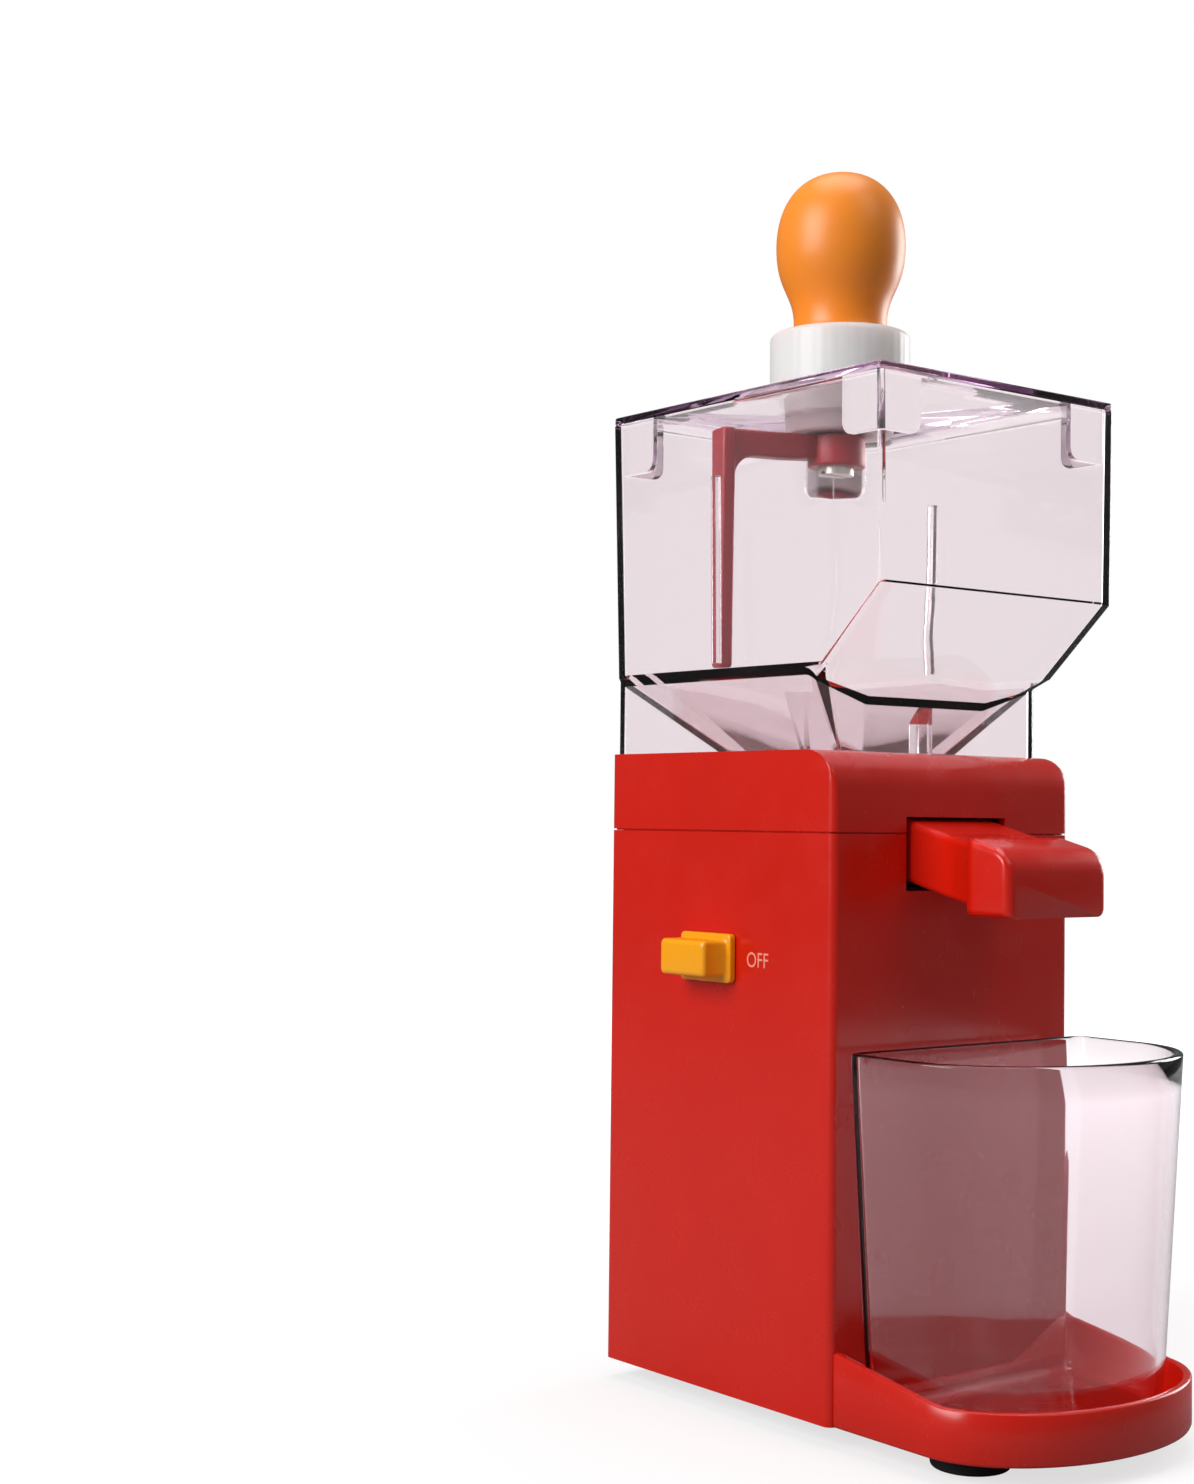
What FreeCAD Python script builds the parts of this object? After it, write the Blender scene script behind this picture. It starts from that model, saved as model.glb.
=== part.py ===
import FreeCAD, Part
import math
import os

# Nut butter grinder, in millimetres. Z is up, the front with its spout and cup faces -Y, and the
# origin lies on the surface that the feet stand on, below the upright axis that the motor, the
# burrs and the stirrer share.

# Case: a tall rectangular shell closed by a collar above and a plate below
case_width = 100.2
case_depth = 102.0
case_height = 190.0
case_wall = 2.5
case_corner = 2.5
foot_height = 6.0
collar_height = 24.0
collar_top = 3.0
collar_round = 11.5
lip_depth = 4.0
lip_wall = 1.6
post_size = 10.0
post_length = 26.0
base_thick = 3.0
vent_width = 3.0
vent_length = 26.0
vent_pitch = 7.0
vent_count = 5
vent_height = 34.0

# Clearances
slip_gap = 0.3
fit_gap = 0.05
lip_gap = 0.15

# Screws and feet
screw_radius = 1.6
screw_head = 3.0
screw_head_thick = 1.6
foot_radius = 12.4
foot_base_radius = 11.0
foot_stem_radius = 3.0
rear_foot_inset = 28.5
rear_foot_from_back = 16.25

# Drip tray in front of the case
tray_inset = 1.2
tray_reach = 68.0
tray_straight = 35.0
tray_wall = 2.5
tray_floor = 2.5
tray_rim_back = 21.0
tray_rim_front = 14.3
tray_rim_run = 40.0
tray_back_height = 9.0
tongue_inner = 12.0
tongue_outer = 30.0
tongue_reach = 14.0
tongue_thick = 3.0
front_foot_x = 28.5
front_foot_reach = 33.0

# Butter cup: D shaped, its flat wall towards the case
cup_height = 102.5
cup_side_gap = 2.9
cup_flare = 6.5
cup_top_gap = 4.5
cup_foot_gap = 5.5
cup_straight = 29.0
cup_top_reach = 65.5
cup_foot_reach = 60.5
cup_corner = 5.0
cup_wall = 2.6
cup_floor = 3.2
cup_foot_round = 5.0

# Power switch on the left wall
switch_y = 1.7
switch_below_seam = 37.5
switch_travel = 7.0
skirt_length = 22.9
skirt_height = 14.5
skirt_thick = 2.0
grip_length = 20.4
grip_height = 10.7
grip_reach = 10.9
grip_round = 1.5
stem_length = 7.0
stem_height = 6.5
switch_box_depth = 11.0
switch_box_length = 32.0
switch_box_height = 20.0
switch_box_wall = 1.5
contact_spread = 8.0
switch_boss_radius = 3.5
switch_boss_height = 4.0
ear_thick = 3.0
ear_length = 9.0

# Cord inlet at the back, without its cord
inlet_z = 22.0
inlet_bore = 3.3
inlet_body = 6.0
inlet_flange = 8.5
inlet_flange_thick = 3.0
inlet_nut_thick = 4.0

# Deck plate that carries the motor below and the grinding chamber above
deck_drop = 18.5
deck_thick = 3.0

# Gearbox: a two step reverted train, so that the output shares the motor's axis
gear_module = 0.8
pinion_teeth = 12
idler_teeth = 40
idler_pinion_teeth = 14
output_teeth = 38
gear_face = 7.0
gear_gap = 2.0
tooth_height = 0.8
tooth_root = 1.15
tooth_backlash = 0.16
pressure_angle = 20.0
gearbox_wall = 2.5
gearbox_floor = 4.0
gearbox_cover_thick = 5.0
gear_clearance = 2.5
column_radius = 3.2
idler_pin_radius = 2.5

# Universal motor
motor_shaft_radius = 3.0
bearing_radius = 8.0
bearing_width = 5.0
bearing_boss = 10.5
stack_height = 32.0
stack_half_x = 29.0
stack_half_y = 31.0
armature_radius = 16.0
air_gap = 0.6
armature_slots = 12
armature_slot_radius = 2.0
armature_slot_circle = 11.5
slot_bar_radius = 1.7
winding_radius = 13.3
winding_height = 6.0
coil_half = 20.5
coil_width = 7.0
coil_near = 14.0
coil_depth = 8.0
coil_overhang = 5.0
coil_gap = 0.2
commutator_radius = 9.5
commutator_height = 12.0
commutator_bars = 12
brush_half_width = 2.5
brush_gap = 0.2
brush_length = 12.0
brush_holder_wall = 2.0
fan_radius = 21.0
fan_height = 8.0
fan_blades = 9
fan_disc = 1.5
bolt_y = 26.0
bolt_radius = 2.0
bolt_post_half = 8.0
bolt_post_depth = 6.0
bracket_thick = 4.0
bracket_arm_half = 6.0
bracket_arm_extra = 4.0
bearing_shoulder = 1.0
fan_gap = 4.0
coil_to_fan = 3.0
winding_to_commutator = 3.0
commutator_to_bracket = 5.0
bearing_drop = 1.5
shaft_tail = 2.0

# Grinding chamber, burrs and their shaft
chamber_radius = 27.5
chamber_wall = 3.5
chamber_floor = 3.5
chamber_height = 16.0
burr_seat = 2.0
ring_burr_height = 15.0
ring_burr_top = 24.0
ring_burr_waist = 21.0
ring_burr_foot = 24.8
burr_waist_height = 7.0
grind_gap = 0.8
burr_grooves = 16
burr_groove_depth = 1.2
cone_top_radius = 13.0
cone_drop = 4.0
grinder_shaft_radius = 5.0
seal_radius = 8.5
wiper_hub = 9.0
wiper_arms = 3
wiper_arm_thick = 3.0
wiper_reach_gap = 0.5
wiper_floor_gap = 1.0
breaker_hub = 7.0
breaker_height = 3.5
breaker_blades = 3
breaker_reach = 12.5
nut_radius = 6.0
nut_height = 3.0

# Spout: a square duct that slopes down to a wider mouth open below
duct_half = 19.0
duct_height = 18.0
duct_above_seam = 3.5
duct_fall = 0.262
duct_wall = 2.0
duct_edge = 2.0
head_half = 21.0
head_reach = 39.0
head_depth = 15.3
head_height = 22.3
head_round = 6.0
head_edge = 2.5
spout_opening_gap = 2.0
flange_standoff = 5.0
flange_half = 25.5
flange_height = 22.0
flange_thick = 2.5
gasket_thick = 1.0
outlet_half = 14.0
outlet_wall = 2.5
outlet_flange_thick = 3.0
lug_radius = 4.5
lug_height = 5.0
lug_standoff = 4.0
outlet_height = 12.5
flange_screw_x = 22.2

# Clear hopper: straight walls above a funnel, on a skirt
hopper_height = 105.6
hopper_overhang = 17.2
hopper_back = 1.3
hopper_side_inset = 0.3
hopper_bend = 46.0
hopper_slope_end = 24.2
hopper_front_end = 5.8
hopper_wall = 2.2
hopper_side_draft = 1.3
hopper_back_draft = 1.9
throat_half = 23.0
throat_rise = 2.0
neck_radius = 23.8
neck_wall = 2.3
neck_length = 3.5
skirt_wall = 2.0
skirt_margin = 0.3
rib_half = 3.2
rib_depth = 4.0
wall_rib_width = 3.0
wall_rib_depth = 2.0
wall_rib_y = 4.5
wall_rib_height = 57.0
wall_rib_rise = 27.0
seal_ring_width = 4.0
seal_ring_thick = 1.5

# Lid with its turning knob and the stirrer that hangs below it
lid_thick = 2.4
tab_length = 15.0
tab_depth = 16.5
tab_thick = 1.6
tab_gap = 0.5
bush_collar_radius = 22.1
bush_collar_height = 25.0
bush_collar_round = 2.0
bush_tube_radius = 16.3
bush_tube_length = 4.8
bush_recess_radius = 17.2
bush_recess = 1.8
knob_bush_radius = 7.5
knob_bush_height = 20.0
stir_shaft_radius = 4.0
knob_height = 53.0
knob_belly_radius = 20.4
knob_belly_height = 29.8
knob_neck_radius = 14.7
knob_neck_height = 5.1
knob_foot_radius = 16.6
knob_socket = 22.0
hub_radius = 9.0
hub_height = 10.0
hub_gap = 0.5
arm_width = 6.0
arm_depth = 8.0
stirrer_angle = 165.5
bar_gap = 2.3
bar_top_width = 9.0
bar_foot_width = 6.5
bar_thick = 4.5
bar_length = 74.0
gusset = 8.0

# Places worked out from the values above
case_bottom = foot_height
case_top = case_bottom + case_height
seam_z = case_top - collar_height
side_x = case_width / 2
front_y = -case_depth / 2
back_y = case_depth / 2
inner_x = side_x - case_wall
inner_y = back_y - case_wall
post_x = inner_x - post_size / 2
post_y = inner_y - post_size / 2
base_top = case_bottom + base_thick
deck_z = seam_z - deck_drop
deck_top = deck_z + deck_thick
pilot_radius = screw_radius + fit_gap
foot_back_y = back_y - rear_foot_from_back
foot_side_x = side_x - rear_foot_inset
front_foot_y = front_y - front_foot_reach
switch_level = seam_z - switch_below_seam
inlet_level = case_bottom + inlet_z

cover_z = deck_z - gearbox_cover_thick
output_z = cover_z - gear_gap / 2 - gear_face
pinion_z = output_z - gear_gap - gear_face
gearbox_inner_z = pinion_z - gear_gap
gearbox_z = gearbox_inner_z - gearbox_floor
gear_centres = gear_module * (pinion_teeth + idler_teeth) / 2
idler_tip = gear_module * (idler_teeth / 2 + tooth_height)
output_tip = gear_module * (output_teeth / 2 + tooth_height)
gearbox_left = -output_tip - gear_clearance
gearbox_right = gear_centres + idler_tip + gear_clearance
gearbox_half = idler_tip + gear_clearance
column_inset = column_radius - gearbox_wall / 4

upper_bearing_z = gearbox_z - bearing_width - bearing_shoulder
fan_z = upper_bearing_z - fan_height - fan_gap
stack_top = fan_z - coil_overhang - coil_to_fan
stack_z = stack_top - stack_height
commutator_z = stack_z - winding_height - commutator_height - winding_to_commutator
bracket_z = commutator_z - bracket_thick - commutator_to_bracket
lower_bearing_z = bracket_z + bracket_thick - bearing_width - bearing_drop
motor_shaft_z = lower_bearing_z - shaft_tail
motor_shaft_top = pinion_z + gear_face + gear_gap / 4

chamber_z = deck_top + chamber_floor
burr_z = chamber_z + chamber_height
housing_top = burr_z + ring_burr_height
housing_radius = chamber_radius + burr_seat + chamber_wall
cone_top_z = housing_top - cone_drop
grinder_shaft_z = motor_shaft_top + 1.0
grinder_shaft_top = cone_top_z + breaker_height + nut_height / 2

duct_top = seam_z + duct_above_seam
duct_bottom = duct_top - duct_height
head_front = front_y - head_reach
head_back = head_front + head_depth
head_top = duct_top - duct_fall * (front_y - head_back) + duct_edge
head_bottom = head_top - head_height
flange_y = -housing_radius - flange_standoff
flange_mid = (duct_top + duct_bottom) / 2 + duct_fall * (flange_y - front_y)
outlet_mid = flange_mid - duct_wall / 2

hopper_base = case_top
hopper_top = hopper_base + hopper_height
hopper_front = front_y - hopper_overhang
slope_z = hopper_base + hopper_slope_end
bend_z = hopper_base + hopper_bend
throat_z = hopper_base + throat_rise
skirt_front = front_y + collar_round + skirt_margin

lid_top = hopper_top + lid_thick
bush_top = lid_top + bush_collar_height
knob_foot_z = bush_top - bush_recess + slip_gap
hub_top = hopper_top - bush_tube_length - hub_gap
hub_z = hub_top - hub_height
tray_half = side_x - tray_inset
cup_foot_half = tray_half - tray_wall - cup_side_gap
cup_top_half = cup_foot_half + cup_flare
cup_z = case_bottom + tray_floor


def vec(x, y, z):
    return FreeCAD.Vector(x, y, z)


def box(x0, x1, y0, y1, z0, z1):
    return Part.makeBox(x1 - x0, y1 - y0, z1 - z0, vec(x0, y0, z0))


def rod(radius, z0, z1, x=0.0, y=0.0):
    return Part.makeCylinder(radius, z1 - z0, vec(x, y, z0))


def rod_y(radius, y0, y1, x, z):
    return Part.makeCylinder(radius, y1 - y0, vec(x, y0, z), vec(0, 1, 0))


def rod_x(radius, x0, x1, y, z):
    return Part.makeCylinder(radius, x1 - x0, vec(x0, y, z), vec(1, 0, 0))


def ring(outer, inner, z0, z1, x=0.0, y=0.0):
    return rod(outer, z0, z1, x, y).cut(rod(inner, z0 - 1, z1 + 1, x, y))


def rounded_box(x0, x1, y0, y1, z0, z1, radius):
    """A block whose four upright edges are rounded."""
    block = box(x0, x1, y0, y1, z0, z1)
    upright = [e for e in block.Edges if abs(e.Vertexes[0].Z - e.Vertexes[-1].Z) > 1e-6]
    return block.makeFillet(radius, upright)


def face_of(points):
    return Part.Face(Part.makePolygon(points + [points[0]]))


def prism_x(outline, x0, x1):
    """A straight prism along X from an outline of (y, z) pairs."""
    return face_of([vec(x0, y, z) for y, z in outline]).extrude(vec(x1 - x0, 0, 0))


def prism_y(outline, y0, y1):
    """A straight prism along Y from an outline of (x, z) pairs."""
    return face_of([vec(x, y0, z) for x, z in outline]).extrude(vec(0, y1 - y0, 0))


def prism_z(outline, z0, z1):
    """A straight prism along Z from an outline of (x, y) pairs."""
    return face_of([vec(x, y, z0) for x, y in outline]).extrude(vec(0, 0, z1 - z0))


def turned(profile):
    """A solid of revolution about Z from an outline of (radius, z) pairs."""
    face = face_of([vec(r, 0, z) for r, z in profile])
    return face.revolve(vec(0, 0, 0), vec(0, 0, 1), 360)


def spun(shape, degrees, x=0.0, y=0.0):
    copy = shape.copy()
    copy.rotate(vec(x, y, 0), vec(0, 0, 1), degrees)
    return copy


def mirrored_x(shape):
    return shape.mirror(vec(0, 0, 0), vec(1, 0, 0))


def mirrored_y(shape):
    return shape.mirror(vec(0, 0, 0), vec(0, 1, 0))


def fused(shapes):
    return shapes[0].multiFuse(shapes[1:]).removeSplitter()


def corners(x, y):
    return [(sx * x, sy * y) for sx in (-1, 1) for sy in (-1, 1)]


def screw_up(x, y, z0, z1):
    """A pan head screw driven upwards: its head lies under z0 and its shank ends at z1."""
    head = rod(screw_head, z0 - screw_head_thick, z0, x, y)
    slot = box(x - screw_head, x + screw_head, y - 0.4, y + 0.4, z0 - screw_head_thick, z0 - 1.0)
    return head.fuse(rod(screw_radius, z0, z1, x, y)).cut(slot)


def rect(x, y0, y1, z):
    """A closed rectangle at one height, symmetric about X = 0."""
    points = [vec(-x, y0, z), vec(x, y0, z), vec(x, y1, z), vec(-x, y1, z), vec(-x, y0, z)]
    return Part.makePolygon(points)


def loft(wires):
    return Part.makeLoft(wires, True, True)


def d_outline(half, y_back, y_turn, reach, corner, z):
    """The D shape of the cup and the tray: a flat back, straight sides and half an ellipse."""
    y_front = front_y - reach
    depth = y_turn - y_front
    if half > depth:
        ellipse = Part.Ellipse(vec(half, y_turn, z), vec(0, y_front, z), vec(0, y_turn, z))
    else:
        ellipse = Part.Ellipse(vec(0, y_front, z), vec(half, y_turn, z), vec(0, y_turn, z))
    a = ellipse.parameter(vec(-half, y_turn, z))
    b = ellipse.parameter(vec(half, y_turn, z))
    bow = Part.ArcOfEllipse(ellipse, a, b)
    middle = bow.value((bow.FirstParameter + bow.LastParameter) / 2)
    if middle.y > y_turn:
        bow = Part.ArcOfEllipse(ellipse, b, a)
    k = corner * (1 - math.sqrt(0.5))
    edges = [
        bow.toShape(),
        Part.makeLine(vec(half, y_turn, z), vec(half, y_back - corner, z)),
        Part.Arc(
            vec(half, y_back - corner, z),
            vec(half - k, y_back - k, z),
            vec(half - corner, y_back, z),
        ).toShape(),
        Part.makeLine(vec(half - corner, y_back, z), vec(corner - half, y_back, z)),
        Part.Arc(
            vec(corner - half, y_back, z),
            vec(k - half, y_back - k, z),
            vec(-half, y_back - corner, z),
        ).toShape(),
        Part.makeLine(vec(-half, y_back - corner, z), vec(-half, y_turn, z)),
    ]
    return Part.Wire(Part.__sortEdges__(edges))


# Case


def case_posts(z0, z1):
    return [
        box(x - post_size / 2, x + post_size / 2, y - post_size / 2, y + post_size / 2, z0, z1)
        for x, y in corners(post_x, post_y)
    ]


def spout_opening():
    """The hole in the case front that the duct passes through, across the seam."""
    half = duct_half + spout_opening_gap
    low = duct_bottom - spout_opening_gap
    high = duct_top + spout_opening_gap + duct_fall * case_wall
    return box(-half, half, front_y - 1, -inner_y + 3, low, high)


def make_body_shell():
    outer = rounded_box(-side_x, side_x, front_y, back_y, case_bottom, seam_z, case_corner)
    inner = box(-inner_x, inner_x, -inner_y, inner_y, case_bottom - 1, seam_z + 1)
    shell = outer.cut(inner)
    posts = case_posts(base_top, base_top + post_length)
    posts += case_posts(deck_z - post_length, deck_z)
    shell = fused([shell] + [p.common(outer) for p in posts])
    stem_y = stem_start()
    slot_far = stem_y + stem_length + switch_travel + slip_gap
    slot_half = stem_height / 2 + slip_gap
    switch_slot = box(
        -side_x - 1, -inner_x + 1, stem_y - slip_gap, slot_far,
        switch_level - slot_half, switch_level + slot_half,
    )
    cuts = [spout_opening(), switch_slot]
    for x, y in corners(post_x, post_y):
        cuts.append(rod(pilot_radius, base_top - 1, base_top + post_length / 2, x, y))
        cuts.append(rod(pilot_radius, deck_z - post_length - 1, deck_z + 1, x, y))
    for side in (-1, 1):
        low, high = sorted((side * (tongue_inner - slip_gap), side * (tongue_outer + slip_gap)))
        cuts.append(box(low, high, front_y - 1, -inner_y + 1, base_top, base_top + tongue_thick + slip_gap))
    cuts.append(rod_y(inlet_body + fit_gap, inner_y - 1, back_y + 1, 0, inlet_level))
    for row in range(vent_count):
        z = case_bottom + vent_height + row * vent_pitch
        cuts.append(box(-vent_length / 2, vent_length / 2, inner_y - 1, back_y + 1, z, z + vent_width))
    shell = shell.cut(cuts)
    bosses = []
    for y in switch_screw_places():
        boss = rod_x(switch_boss_radius, -inner_x - 0.5, -inner_x + switch_boss_height, y, switch_level)
        bosses.append(boss)
    shell = fused([shell] + bosses)
    for y in switch_screw_places():
        hole = rod_x(pilot_radius, -inner_x - 0.5, -inner_x + switch_boss_height + 1, y, switch_level)
        shell = shell.cut(hole)
    return shell


def make_top_collar():
    outer = rounded_box(-side_x, side_x, front_y, back_y, seam_z, case_top, case_corner)
    quarter = box(
        -side_x - 1, side_x + 1, front_y - 1, front_y + collar_round,
        case_top - collar_round, case_top + 1,
    )
    bar = rod_x(collar_round, -side_x - 1, side_x + 1, front_y + collar_round, case_top - collar_round)
    outer = outer.cut(quarter.cut(bar))
    inner = box(-inner_x, inner_x, -inner_y, inner_y, seam_z - 1, case_top - collar_top)
    inner_round = collar_round - case_wall
    soft = box(
        -inner_x - 1, inner_x + 1, -inner_y - 1, -inner_y + inner_round,
        case_top - collar_top - inner_round, case_top,
    ).cut(rod_x(
        inner_round, -inner_x - 1, inner_x + 1, -inner_y + inner_round, case_top - collar_top - inner_round,
    ))
    shell = outer.cut(inner.cut(soft))
    lip_x = inner_x - lip_gap
    lip_y = inner_y - lip_gap
    lip = box(-lip_x, lip_x, -lip_y, lip_y, seam_z - lip_depth, seam_z + 2)
    lip = lip.cut(box(
        lip_wall - lip_x, lip_x - lip_wall, lip_wall - lip_y, lip_y - lip_wall,
        seam_z - lip_depth - 1, seam_z + 3,
    ))
    notch = flange_half + slip_gap
    lip = lip.cut(box(-notch, notch, -inner_y - 1, -inner_y + 3, seam_z - lip_depth - 1, seam_z + 3))
    bridge = box(-inner_x, inner_x, -inner_y, inner_y, seam_z, seam_z + 2).cut(box(
        lip_wall - lip_x, lip_x - lip_wall, lip_wall - lip_y, lip_y - lip_wall, seam_z - 1, seam_z + 3,
    ))
    posts = []
    for x, y in corners(post_x, post_y):
        half = post_size / 2 - lip_gap
        posts.append(box(x - half, x + half, y - half, y + half, deck_top, case_top - collar_top + 0.5))
    shell = fused([shell, lip, bridge] + posts)
    cuts = [spout_opening(), rod(neck_radius + slip_gap, case_top - collar_top - 1, case_top + 1)]
    for x, y in corners(post_x, post_y):
        cuts.append(rod(pilot_radius, deck_top - 1, deck_top + post_length / 2, x, y))
    return shell.cut(cuts)


def make_base_plate():
    x = inner_x - slip_gap
    y = inner_y - slip_gap
    plate = box(-x, x, -y, y, case_bottom, base_top)
    cuts = []
    for px, py in corners(post_x, post_y):
        cuts.append(rod(pilot_radius, case_bottom - 1, base_top + 1, px, py))
        cuts.append(rod(screw_head + slip_gap, case_bottom - 1, case_bottom + screw_head_thick, px, py))
    for px, py in tray_screw_places():
        cuts.append(rod(pilot_radius, case_bottom - 1, base_top + 1, px, py))
        cuts.append(rod(screw_head + slip_gap, case_bottom - 1, case_bottom + screw_head_thick, px, py))
    for sx in (-1, 1):
        x = sx * foot_side_x
        cuts.append(rod(foot_stem_radius + fit_gap, case_bottom - 1, base_top + 1, x, foot_back_y))
    for row in range(vent_count):
        vx = (row - (vent_count - 1) / 2) * vent_pitch
        cuts.append(box(
            vx - vent_width / 2, vx + vent_width / 2, -vent_length / 2, vent_length / 2,
            case_bottom - 1, base_top + 1,
        ))
    return plate.cut(cuts)


def make_base_screws():
    z0 = case_bottom + screw_head_thick
    return [screw_up(x, y, z0, base_top + post_length / 2 - 1) for x, y in corners(post_x, post_y)]


def make_collar_screws():
    z0 = deck_z - post_length
    return [screw_up(x, y, z0, deck_top + post_length / 2 - 1) for x, y in corners(post_x, post_y)]


def make_rubber_foot(x, y, stem_top):
    cone = Part.makeCone(foot_base_radius, foot_radius, foot_height, vec(x, y, 0))
    return cone.fuse(rod(foot_stem_radius, foot_height, stem_top, x, y))


def make_rubber_feet():
    tray_stem = case_bottom + tray_floor - slip_gap
    feet = [make_rubber_foot(sx * front_foot_x, front_foot_y, tray_stem) for sx in (-1, 1)]
    feet += [make_rubber_foot(sx * foot_side_x, foot_back_y, base_top + 1.5) for sx in (-1, 1)]
    return feet


def make_cord_gland():
    flange = rod_y(inlet_flange, back_y, back_y + inlet_flange_thick, 0, inlet_level)
    body = rod_y(inlet_body, inner_y - inlet_nut_thick, back_y + 0.5, 0, inlet_level)
    nut = rod_y(inlet_flange, inner_y - inlet_nut_thick, inner_y, 0, inlet_level)
    bore = rod_y(inlet_bore, inner_y - inlet_nut_thick - 1, back_y + inlet_flange_thick + 1, 0, inlet_level)
    return fused([flange, body, nut]).cut(bore)


# Tray and cup


def tray_screw_places():
    x = (tongue_inner + tongue_outer) / 2
    return [(-x, front_y + tongue_reach / 2 + case_wall), (x, front_y + tongue_reach / 2 + case_wall)]


def make_drip_tray():
    rim = case_bottom + tray_rim_back
    turn = front_y - tray_straight
    outer = loft([
        d_outline(tray_half, front_y, turn, tray_reach, 0.5, case_bottom),
        d_outline(tray_half, front_y, turn, tray_reach, 0.5, rim),
    ])
    inner_half = tray_half - tray_wall
    inner_back = front_y - tray_wall
    inner = loft([
        d_outline(inner_half, inner_back, turn, tray_reach - tray_wall, 0.5, cup_z),
        d_outline(inner_half, inner_back, turn, tray_reach - tray_wall, 0.5, rim + 1),
    ])
    tray = outer.cut(inner)
    low = case_bottom + tray_rim_front
    above = [
        (front_y, rim), (front_y - tray_rim_run, low), (front_y - tray_reach - 1, low),
        (front_y - tray_reach - 1, rim + 1), (front_y, rim + 1),
    ]
    tray = tray.cut(prism_x(above, -tray_half - 1, tray_half + 1))
    back_top = case_bottom + tray_back_height
    back_half = inner_half - 0.5
    tray = tray.cut(box(-back_half, back_half, inner_back - 0.5, front_y + 1, back_top, rim + 1))
    tongues = []
    for side in (-1, 1):
        low_x, high_x = sorted((side * tongue_inner, side * tongue_outer))
        tongue_end = front_y + case_wall + tongue_reach
        tongues.append(box(low_x, high_x, inner_back, tongue_end, base_top, base_top + tongue_thick))
    tray = fused([tray] + tongues)
    for x, y in tray_screw_places():
        tray = tray.cut(rod(pilot_radius, base_top - 1, base_top + tongue_thick + 1, x, y))
    for side in (-1, 1):
        stem = rod(
            foot_stem_radius + fit_gap, case_bottom - 1, case_bottom + tray_floor - slip_gap,
            side * front_foot_x, front_foot_y,
        )
        tray = tray.cut(stem)
    return tray


def make_tray_screws():
    z0 = case_bottom + screw_head_thick
    return [screw_up(x, y, z0, base_top + tongue_thick) for x, y in tray_screw_places()]


def cup_section(z, inset, corner):
    """The cup's outline at a height: every size grows evenly from the foot to the rim."""
    rise = (z - cup_z) / cup_height
    half = cup_foot_half + (cup_top_half - cup_foot_half) * rise - inset
    gap = cup_foot_gap + (cup_top_gap - cup_foot_gap) * rise + inset
    reach = cup_foot_reach + (cup_top_reach - cup_foot_reach) * rise - inset
    return d_outline(half, front_y - gap, front_y - cup_straight, reach, corner, z)


def make_butter_cup():
    rim_z = cup_z + cup_height
    outer = loft([cup_section(cup_z, 0, cup_corner), cup_section(rim_z, 0, cup_corner)])
    foot_edges = [e for e in outer.Edges if e.BoundBox.ZMax < cup_z + 1e-3]
    outer = outer.makeFillet(cup_foot_round, foot_edges)
    corner = cup_corner - cup_wall + 0.6
    floor = cup_z + cup_floor
    inner = loft([cup_section(floor, cup_wall, corner), cup_section(rim_z + 2, cup_wall, corner)])
    inner_edges = [e for e in inner.Edges if e.BoundBox.ZMax < floor + 1e-3]
    inner = inner.makeFillet(cup_foot_round - cup_wall + 0.6, inner_edges)
    return outer.cut(inner)


# Switch


def switch_screw_places():
    middle = switch_box_middle()
    reach = switch_box_length / 2 + ear_length / 2
    return [middle - reach, middle + reach]


def stem_start():
    return switch_y - skirt_length / 2 + switch_travel + 1.0


def switch_box_middle():
    return stem_start() + (stem_length + switch_travel) / 2


def make_switch_slider():
    y0 = switch_y - skirt_length / 2
    skirt_x = -side_x - slip_gap
    skirt = rounded_box(
        switch_level - skirt_height / 2, switch_level + skirt_height / 2,
        y0, y0 + skirt_length, 0, skirt_thick, grip_round,
    )
    skirt.rotate(vec(0, 0, 0), vec(0, 1, 0), -90)
    skirt.translate(vec(skirt_x, 0, 0))
    grip_low = switch_level - grip_height / 2
    grip_y = switch_y - grip_length / 2 + 0.8
    grip = box(
        -side_x - grip_reach, skirt_x - skirt_thick / 2, grip_y, grip_y + grip_length,
        grip_low, grip_low + grip_height,
    )
    outer_edges = [e for e in grip.Edges if e.BoundBox.XMin < -side_x - grip_reach + 1e-6]
    grip = grip.makeFillet(grip_round, outer_edges)
    stem_y = stem_start()
    stem = box(
        skirt_x - skirt_thick / 2, -inner_x + switch_boss_height - 1, stem_y, stem_y + stem_length,
        switch_level - stem_height / 2, switch_level + stem_height / 2,
    )
    return fused([skirt, grip, stem])


def make_contact_bridge():
    stem_y = stem_start()
    x0 = -inner_x + switch_boss_height - 1
    return box(x0, x0 + 0.8, stem_y - 3, stem_y + stem_length + 3, switch_level - 2.5, switch_level + 2.5)


def make_switch_housing():
    middle = switch_box_middle()
    half = switch_box_length / 2
    x0 = -inner_x
    x1 = -inner_x + switch_box_depth
    low = switch_level - switch_box_height / 2
    high = switch_level + switch_box_height / 2
    body = box(x0, x1, middle - half, middle + half, low, high)
    cavity = box(
        x0 - 1, x1 - switch_box_wall, middle - half + switch_box_wall, middle + half - switch_box_wall,
        low + switch_box_wall, high - switch_box_wall,
    )
    ears = []
    for y in switch_screw_places():
        ear = box(
            x0 + switch_boss_height, x0 + switch_boss_height + ear_thick,
            y - ear_length / 2 - 0.5, y + ear_length / 2 + 0.5,
            switch_level - ear_length / 2, switch_level + ear_length / 2,
        )
        ears.append(ear)
    housing = fused([body] + ears).cut(cavity)
    for y in switch_screw_places():
        housing = housing.cut(rod_x(pilot_radius, x0, x1 + 1, y, switch_level))
    for y in switch_contact_places():
        housing = housing.cut(switch_contact(y, fit_gap))
    return housing


def switch_contact_places():
    middle = switch_box_middle()
    return [middle - contact_spread, middle + contact_spread]


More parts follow.
